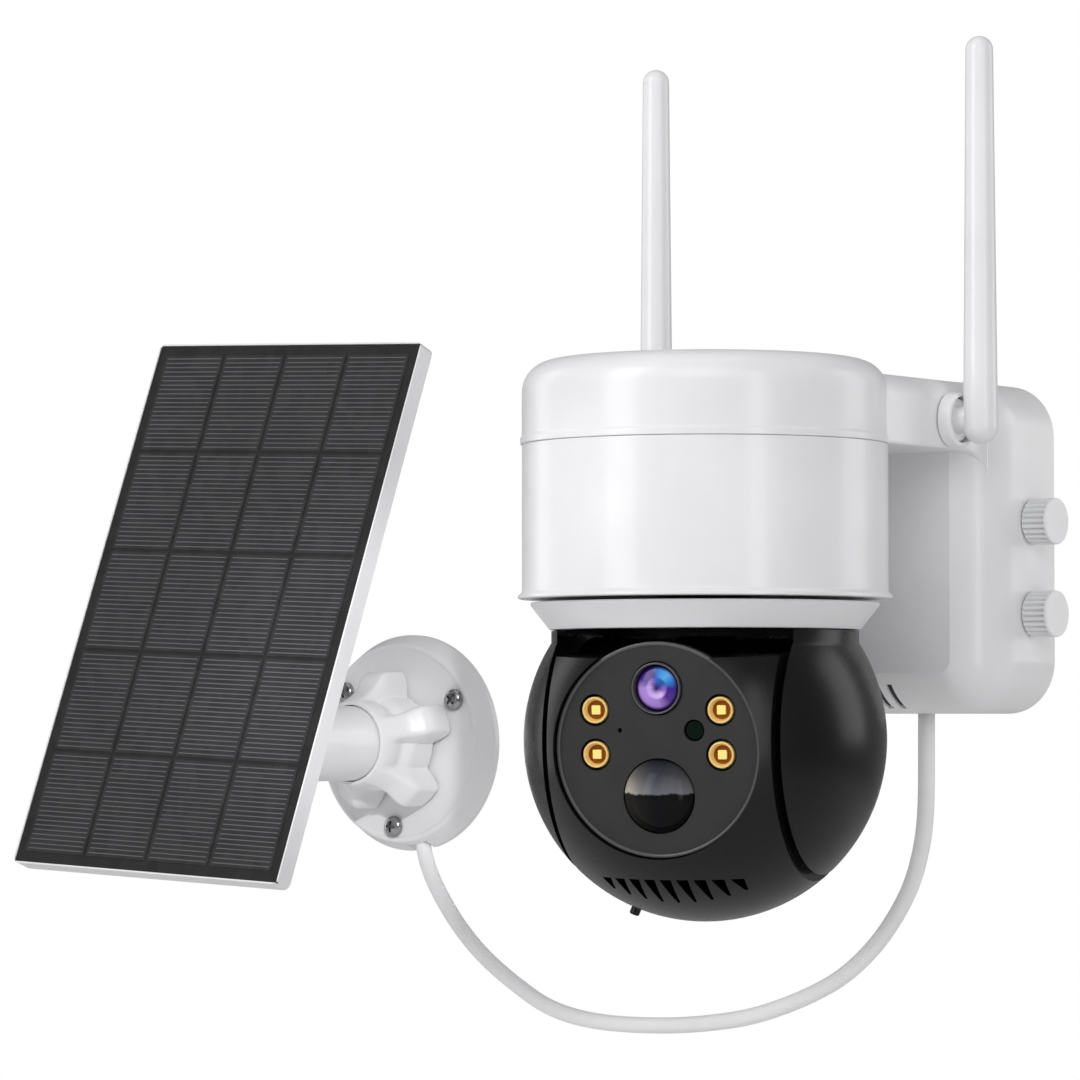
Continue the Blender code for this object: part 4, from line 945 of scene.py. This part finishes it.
def make_yoke():
    """Top disc, hollow pan shaft and the two ears, which are caps of the ball."""
    top_of_ball = math.sqrt(BALL_RADIUS**2 - NECK_RADIUS**2)
    neck_top = COLLAR_LOW.z - PAN_AT.z / MM - 0.3
    disc_top = COLLAR_HIGH.z - PAN_AT.z / MM
    shaft_top = box_mm("yoke")[1].z - PAN_AT.z / MM
    profile = ball_profile(BALL_RADIUS, -BALL_RADIUS, top_of_ball)
    profile += [(NECK_RADIUS, neck_top), (35.6, neck_top), (35.6, disc_top), (12.0, disc_top)]
    profile += [(12.0, shaft_top), (8.0, shaft_top), (8.0, SHAFT_FLOOR), (0.0, SHAFT_FLOOR)]
    body = turned("yoke_ears", profile, 160, place=PAN)
    # The slot's roof is lower at its rear, where only the round back of the head passes
    for top, front, rear in ((HEAD_REAR + 0.15, -55.0, 55.0), (neck_top + 0.9, -55.0, 8.0)):
        size = (2 * EAR_INNER, rear - front, top + BALL_RADIUS + 2.0)
        centre = (0.0, (front + rear) / 2, top - size[2] / 2)
        cut(body, block("slot", size, centre, PAN))
    for axis in ("X", "-X"):
        cut(body, cylinder("recess", 28.6, EAR_INNER - 1.0, EAR_INNER + 2.2, 96, axis, place=PAN))
    soften(body, 0.45, 40.0, 3)
    settle(body)
    dress(body, black, "black_shell", "pan_head", "yoke")


def head_solid(name, inset):
    """The head between the ears: the ball, cut flat at its sides, its top and its rear."""
    radius = BALL_RADIUS - inset
    solid = turned(name, ball_profile(radius, -radius, radius), 160, place=HEAD)
    top = HEAD_TOP - inset
    rear = HEAD_REAR - inset
    corner = -math.sqrt(rear**2 - top**2)
    side = [(-50.0, top - 3.0), (-42.0 + inset, top), (corner, top)]
    side += arc((0.0, 0.0), rear, math.degrees(math.atan2(top, corner)), 0, 30)[1:]
    side += [(rear, -50.0), (-50.0, -50.0)]
    half = HEAD_HALF_WIDTH - inset
    return keep(solid, side_prism("keeper", side, -half, half, HEAD))


def finish_head(shell, node):
    settle(soften(shell, 0.35, 40.0))
    dress(shell, black, "black_shell", "tilt_head", node)


def make_head():
    seat = PLATE_BACK - 0.3
    front = head_solid("head_front", 0.0)
    cut(front, head_solid("inside", HEAD_WALL))
    cut(front, cylinder("recess", PLATE_RADIUS + 0.25, seat, 60.0, 128, "-Y", place=HEAD))
    cut(front, cylinder("bore", 3.85, -40.0, 40.0, 48, "X", place=HEAD))
    for i in range(-4, 5):
        bottom = VENT_BOTTOM + 0.2 * i * i
        wedge = [(-1.5, VENT_TOP), (1.5, VENT_TOP), (1.2, bottom), (0.5, bottom)]
        outline = [(x + VENT_PITCH * i, z) for x, z in wedge]
        cut(front, extruded("slot", outline, 8.0, 40.0, "-Y", place=HEAD))
    size = (120.0, 120.0, 120.0)
    cut(front, block("rear_side", size, (0.0, HEAD_SPLIT - 0.15 + 60.0, 0.0), HEAD))
    cut(front, cylinder("bore", 1.6, 38.0, 50.0, 32, place=PEG))
    finish_head(front, "head_front_shell")
    rear = head_solid("head_rear", 0.0)
    cut(rear, head_solid("inside", HEAD_WALL))
    cut(rear, block("front_side", size, (0.0, HEAD_SPLIT + 0.15 - 60.0, 0.0), HEAD))
    finish_head(rear, "head_rear_shell")


def lamp_places():
    return [(x, z) for z in LED_HEIGHTS for x in (-LED_SIDE, LED_SIDE)]


def make_face():
    """Round front with a raised rim, and a chamfered hole for each thing that looks out of it."""
    inner = PLATE_RADIUS - 1.0
    plate = cylinder("face_disc", PLATE_RADIUS, PLATE_BACK, FACE_FLAT, 160, "-Y", place=HEAD)
    holes = [(LENS_RADIUS + FACE_GAP, 0.0, LENS_UP), (PIR_RADIUS + FACE_GAP, 0.0, -PIR_DOWN)]
    holes += [(2.7, SENSOR_SIDE, SENSOR_UP), (0.6, -SENSOR_SIDE - 0.4, SENSOR_UP)]
    holes += [(LED_HOLE, x, z) for x, z in lamp_places()]
    for radius, x, z in holes:
        at = (x, 0.0, z)
        cut(plate, cylinder("bore", radius, PLATE_BACK - 2, FACE_FLAT + 2, 64, "-Y", at, HEAD))
    soften(plate, 0.25, 40.0)
    dress(plate, face_black, "face_black", "tilt_head", "face_plate")
    hoop = [(inner, FACE_FLAT - 0.3), (PLATE_RADIUS, FACE_FLAT - 0.3)]
    hoop += [(PLATE_RADIUS, PLATE_FRONT, 0.35), (inner, PLATE_FRONT, 0.45)]
    rim = soften(turned("face_rim", rounded(hoop, 5, True), 160, "-Y", place=HEAD), 0.0, 60.0)
    # The rim gets the lighter grey: painted highlight on its edge
    dress(rim, rim_black_painted_highlight, "face_black", "tilt_head")


def make_lens():
    place = HEAD @ Matrix.Translation((0.0, 0.0, LENS_UP * MM))
    front = PLATE_FRONT
    seat = GLASS_RADIUS + 0.1
    barrel = [(0.0, 22.4), (4.9, 22.4), (4.9, front - 4.7), (LENS_RADIUS, front - 4.7)]
    barrel += [(LENS_RADIUS, front + 0.45, 0.25), (LENS_RADIUS - 0.45, front + 0.45, 0.2)]
    barrel += [(seat, front - 0.3, 0.2), (seat, front - 3.6), (0.0, front - 3.6)]
    ring = soften(turned("lens_ring", rounded(barrel, 4), 96, "-Y", place=place), 0.0)
    # The ring gets the rims' lighter grey: painted highlight on its edge
    dress(ring, rim_black_painted_highlight, "black_shell", "tilt_head", "lens_barrel")
    edge = front - 1.6
    dome = [(0.0, front - 3.3), (GLASS_RADIUS, front - 3.3), (GLASS_RADIUS, edge)]
    dome += [(GLASS_RADIUS * math.cos(a), edge + 1.35 * math.sin(a)) for a in (0.3, 0.6, 0.9, 1.2, 1.4)]
    dome += [(0.0, edge + 1.35)]
    eye = soften(turned("lens_front_glass", dome, 96, "-Y", place=place), 0.0, 60.0)
    dress(eye, glass, "lens_glass", "tilt_head", "lens_glass")


def make_lamps():
    back = PLATE_BACK
    front = PLATE_FRONT
    cup = [(1.7, back - 1.4), (LED_RADIUS, back - 1.4), (LED_RADIUS, front - 0.3, 0.3)]
    cup += [(LED_RADIUS - 0.5, front - 0.3, 0.2), (2.35, back + 0.9, 0.2)]
    cup = rounded(cup + [(2.2, back + 0.1), (1.7, back + 0.1)], 4)
    well = [(0.0, back - 1.0), (2.32, back - 1.0), (2.32, back + 0.75), (2.15, back + 0.75)]
    well += [(1.95, back + 0.55), (0.0, back + 0.55)]
    for number, (x, z) in enumerate(lamp_places(), 1):
        place = HEAD @ Matrix.Translation((x * MM, 0.0, z * MM))
        piece = soften(turned(f"lamp_cup_{number}", cup, 64, "-Y", place=place), 0.0)
        dress(piece, cup_cream, "led_cup", "tilt_head", f"led_reflector_{number}")
        base = soften(turned(f"lamp_well_{number}", well, 48, "-Y", place=place), 0.0)
        dress(base, cup_brown, "led_cup", "tilt_head")
        square = rounded_rectangle(1.15, 1.15, 0.3, 4)
        chip = extruded(f"lamp_chip_{number}", square, back + 0.2, back + 1.2, "-Y", place=place)
        dress(soften(chip, 0.12), phosphor, "led_cup", "tilt_head")


def make_sensors():
    place = HEAD @ Matrix.Translation((0.0, 0.0, -PIR_DOWN * MM))
    sphere = (PIR_RADIUS**2 + PIR_BULGE**2) / (2 * PIR_BULGE)
    reach = math.degrees(math.asin(PIR_RADIUS / sphere))
    profile = [(0.0, PLATE_BACK - 4.0), (7.4, PLATE_BACK - 4.0), (7.4, PLATE_BACK - 1.2)]
    profile += [(PIR_RADIUS, PLATE_BACK - 1.2)]
    tip = FACE_FLAT + PIR_BULGE
    profile += arc((0.0, tip - sphere), sphere, 90 - reach, 90, 24)[:-1] + [(0.0, tip)]
    dome = soften(turned("motion_dome", profile, 128, "-Y", place=place), 0.0, 60.0)
    # The dome's colour holds a painted reflection
    dress(dome, dome_black_painted_reflection, "sensor_dome", "tilt_head", "pir_dome")
    place = HEAD @ Matrix.Translation((SENSOR_SIDE * MM, 0.0, SENSOR_UP * MM))
    front = PLATE_FRONT - 1.0
    pane = [(0.0, PLATE_BACK - 0.6), (2.4, PLATE_BACK - 0.6), (2.4, front, 0.4), (0.0, front)]
    eye = soften(turned("light_eye", rounded(pane), 48, "-Y", place=place), 0.0)
    dress(eye, window_green, "sensor_window", "tilt_head", "light_sensor_window")


def make_button():
    profile = [(0.0, 41.4), (2.2, 41.4), (2.2, 42.4), (1.3, 42.4), (1.3, 48.1, 0.45), (0.0, 48.1)]
    button = soften(turned("reset_peg", rounded(profile), 40, place=PEG), 0.0)
    dress(button, black, "black_shell", "reset_button", "reset_button")


# ---------------------------------------------------------------- panel and bracket


def base_screw_places():
    places = []
    for degrees in BASE_SCREW_ANGLES:
        angle = math.radians(degrees)
        places.append((BASE_SCREW_RING * math.cos(angle), 0.0, BASE_SCREW_RING * math.sin(angle)))
    return places


def make_base():
    front = BASE_THICKNESS
    face = front - 0.7
    profile = [(4.0, front - 3.0), (26.6, front - 3.0), (29.0, 0.0), (BASE_RADIUS, 0.0)]
    profile += [(BASE_RADIUS, 1.8, 0.8), (28.6, front, 1.2), (27.2, face, 0.5), (8.0, face)]
    profile += [(8.0, 22.0, 0.6), (4.0, 22.0)]
    base = turned("base_disc", rounded(profile, 6), 160, "-Y", place=BASE)
    for at in base_screw_places():
        cut(base, cylinder("bore", SCREW_BORE, 2.0, 12.0, 32, "-Y", at, BASE))
    cut(base, block("cable_notch", (7.2, 6.8, 9.0), (5.2, -2.0, -BASE_RADIUS + 2.2), BASE))
    soften(base, 0.0, 30.0)
    dress(base, white, "white_shell", "wall_unit", "base_plate")
    make_base_screws(face)


def make_base_screws(face):
    head = face + 0.3
    profile = [(0.0, 0.6), (1.9, 1.2), (1.9, head), (3.05, head), (3.1, head + 0.5)]
    profile += [(x * 3.1, head + 0.5 + 1.65 * y) for x, y in arc((0, 0), 1.0, 12, 78, 8)]
    profile += [(0.0, head + 2.15)]
    for number, at in enumerate(base_screw_places(), 1):
        name = f"base_screw_head_{number}"
        screw = turned(name, profile, 48, "-Y", at, BASE)
        for size in ((3.3, 2.4, 0.75), (0.75, 2.4, 3.3)):
            place = BASE @ Matrix.Translation(Vector((at[0], -head - 2.15, at[2])) * MM)
            cut(screw, block("cross", size, place=place @ turn(20.0 + 25.0 * number, "Y")))
        dress(soften(screw, 0.1), screw_steel, "screw_steel", "wall_unit", f"base_screw_{number}")


def star_ring(radius, depth, out, steps=200):
    """One outline of the knob: five lobes, with hollows of the given depth between them."""
    ring = []
    for i in range(steps):
        angle = math.tau * i / steps
        wave = 0.5 + 0.5 * math.cos(5 * (angle - math.radians(KNOB_LOBE)))
        share = min(max((wave - 0.36) / 0.46, 0.0), 1.0)
        reach = radius - depth * (1 - share * share * (3 - 2 * share))
        ring.append((reach * math.cos(angle), -out, reach * math.sin(angle)))
    return ring


def make_knob():
    """Five-lobed locking nut, lofted from its star to the round neck at its front."""
    start = BASE_THICKNESS + 0.2
    # Radius of the lobes, depth of the hollows between them and distance from the wall
    levels = [
        (KNOB_RADIUS - 0.6, 6.8, start),
        (KNOB_RADIUS - 0.1, 6.8, start + 0.5),
        (KNOB_RADIUS, 6.9, start + 1.2),
        (KNOB_RADIUS, 6.9, start + 8.0),
        (KNOB_RADIUS - 0.4, 6.8, start + 9.4),
        (KNOB_RADIUS - 1.3, 6.4, start + 10.6),
        (KNOB_RADIUS - 2.9, 5.6, start + 11.9),
        (KNOB_RADIUS - 4.6, 4.4, start + 13.2),
        (15.0, 2.4, start + 15.2),
        (13.8, 1.0, start + 17.4),
        (12.9, 0.3, start + 19.6),
        (12.2, 0.0, KNOB_FRONT - 0.4),
        (11.8, 0.0, KNOB_FRONT),
    ]
    knob = lofted("locking_star", [star_ring(*level) for level in levels], BASE)
    cut(knob, cylinder("bore", TUBE_RADIUS + 0.3, 5.0, 35.0, 96, "-Y", place=BASE))
    soften(knob, 0.0, 45.0)
    dress(knob, white, "white_shell", "star_knob", "star_knob")


def make_arm():
    start = BASE_THICKNESS - 0.2
    profile = [(8.3, start), (TUBE_RADIUS, start), (TUBE_RADIUS, 64.0, 1.4)]
    profile = rounded(profile + [(4.0, 64.0), (4.0, 22.6), (8.3, 22.6)], 6)
    tube = turned("bracket_tube", profile, 96, "-Y", place=ARM)
    side = [(-60.0, -EYE_RADIUS), (-60.0, EYE_RADIUS), (-HINGE_OUT, EYE_RADIUS)]
    side += arc((-HINGE_OUT, 0.0), EYE_RADIUS, 90, 270, 28)[1:-1] + [(-HINGE_OUT, -EYE_RADIUS)]
    join(tube, side_prism("tongue", side, -4.5, 4.5, ARM))
    hinge = (0.0, -HINGE_OUT, 0.0)
    cut(tube, cylinder("bore", HINGE_BORE, -8.0, 8.0, 40, "X", hinge, ARM))
    soften(tube, 0.0, 35.0)
    dress(tube, white, "white_shell", "panel_arm", "arm_tube")
    bolt = [(0.0, -14.6), (3.2, -14.6, 0.8), (4.2, -13.4, 0.4), (4.2, -11.4)]
    bolt += [(2.3, -11.4), (2.3, 15.0, 0.4), (0.0, 15.0)]
    pin = soften(turned("pivot_bolt", rounded(bolt), 48, "X", hinge, ARM), 0.0)
    dress(pin, screw_steel, "screw_steel", "panel_arm", "hinge_bolt")
    nut_at = ARM @ Matrix.Translation(Vector((11.4, -HINGE_OUT, 0.0)) * MM)
    hexagon = arc((0.0, 0.0), 6.2, 0, 300, 5)
    nut = extruded("pivot_nut", hexagon, 0.0, 5.0, "X", place=nut_at)
    cut(nut, cylinder("bore", HINGE_BORE, -2.0, 8.0, 40, "X", place=nut_at))
    dress(soften(nut, 0.35), white, "white_shell", "hinge_nut", "hinge_nut")


def make_panel_frame():
    outline = rounded_rectangle(PANEL_WIDTH / 2, PANEL_HEIGHT / 2, 2.0, 6)
    front = PANEL_BACK + PANEL_THICKNESS
    middle = (PANEL_SHIFT, 0.0, PANEL_RISE)
    panel = extruded("panel_tray", outline, PANEL_BACK, front, "-Y", middle, PANEL)
    size = (PANEL_WIDTH - 2 * PANEL_BORDER, 2.4, PANEL_HEIGHT - 2 * PANEL_BORDER)
    cut(panel, block("recess", size, (PANEL_SHIFT, -front, PANEL_RISE), PANEL))
    soften(panel, 0.2, 40.0, 3)
    dress(panel, white, "white_shell", "solar_panel", "panel_frame")


def make_cells():
    """Dark backing sheet, a tile for each cell, and the thin lines of each cell's contacts."""
    width = PANEL_WIDTH - 2 * PANEL_BORDER - 0.1
    height = PANEL_HEIGHT - 2 * PANEL_BORDER - 0.1
    front = -PANEL_BACK - PANEL_THICKNESS
    sheet_face = front + 0.3
    middle = (PANEL_SHIFT, sheet_face + 0.3, PANEL_RISE)
    sheet = block("panel_sheet", (width, 0.6, height), middle, PANEL)
    dress(soften(sheet, 0.1), backing, "solar_cells", "solar_panel", "solar_laminate")
    pitch_x = (width - 2 * CELL_MARGIN) / CELL_COLUMNS
    pitch_z = (height - 2 * CELL_MARGIN) / CELL_ROWS
    tiles = bmesh.new()
    lines = bmesh.new()
    for column in range(CELL_COLUMNS):
        for row in range(CELL_ROWS):
            x = PANEL_SHIFT + (column - (CELL_COLUMNS - 1) / 2) * pitch_x
            z = PANEL_RISE + (row - (CELL_ROWS - 1) / 2) * pitch_z
            size = (pitch_x - CELL_GAPS[0], 0.16, pitch_z - CELL_GAPS[1])
            add_block(tiles, size, (x, sheet_face - 0.05, z))
            for i in range(FINGERS):
                up = z + (i - (FINGERS - 1) / 2) * (pitch_z - 1.6) / FINGERS
                add_block(lines, (pitch_x - 2.6, 0.1, 0.3), (x, sheet_face - 0.12, up))
    dress(finish(tiles, "solar_tiles", PANEL), cell_dark, "solar_cells", "solar_panel")
    dress(finish(lines, "solar_fingers", PANEL), finger_grey, "solar_cells", "solar_panel")


def make_panel_back():
    centre = (PANEL_SHIFT, 4.8 - PANEL_BACK, PANEL_RISE + 9.0)
    lid = soften(block("junction_cover", (42.0, 9.0, 30.0), centre, PANEL), 1.2, 35.0, 4)
    dress(lid, black, "black_shell", "solar_panel", "junction_box")
    at = (0.0, 1.8 - PANEL_BACK, 0.0)
    bracket = block("panel_hinge_plate", (36.0, 3.0, 40.0), at, PANEL)
    root = 1.0 - PANEL_BACK
    ear = [(root, -9.0), (root, 9.0)] + arc((0.0, 0.0), EYE_RADIUS, 80, -80, 24)
    for low in (-11.0, 5.0):
        join(bracket, side_prism("ear", ear, low, low + 6.0, PANEL))
    cut(bracket, cylinder("bore", HINGE_BORE, -14.0, 14.0, 40, "X", place=PANEL))
    dress(soften(bracket, 0.3), white, "white_shell", "solar_panel", "panel_bracket")


# ---------------------------------------------------------------- pieces that keep their CAD shape


def paint_frame():
    """The wall side and the insides keep their CAD shapes and get real materials."""
    looks = {
        "plate_steel": plate_steel,
        "motor_steel": motor_steel,
        "inner_grey": inner_grey,
        "gear_plastic": acetal,
        "circuit_board": board_green,
        "cell_wrap": wrap,
        "black_rubber": rubber,
        "black_shell": black,
    }
    for entry in frame["record"]["subparts"]:
        piece = frame["nodes"][entry["node"]]
        if piece.hide_render:
            continue
        piece.data.materials.clear()
        piece.data.materials.append(looks[entry["material_slot"]])


make_camera()
make_cable()
make_studio()
make_spot()
make_floor()
make_housing()
make_drum()
make_collar()
make_antennas()
make_thumb_screws()
make_yoke()
make_head()
make_face()
make_lens()
make_lamps()
make_sensors()
make_button()
make_base()
make_knob()
make_arm()
make_panel_frame()
make_cells()
make_panel_back()
paint_frame()

bpy.context.view_layer.update()
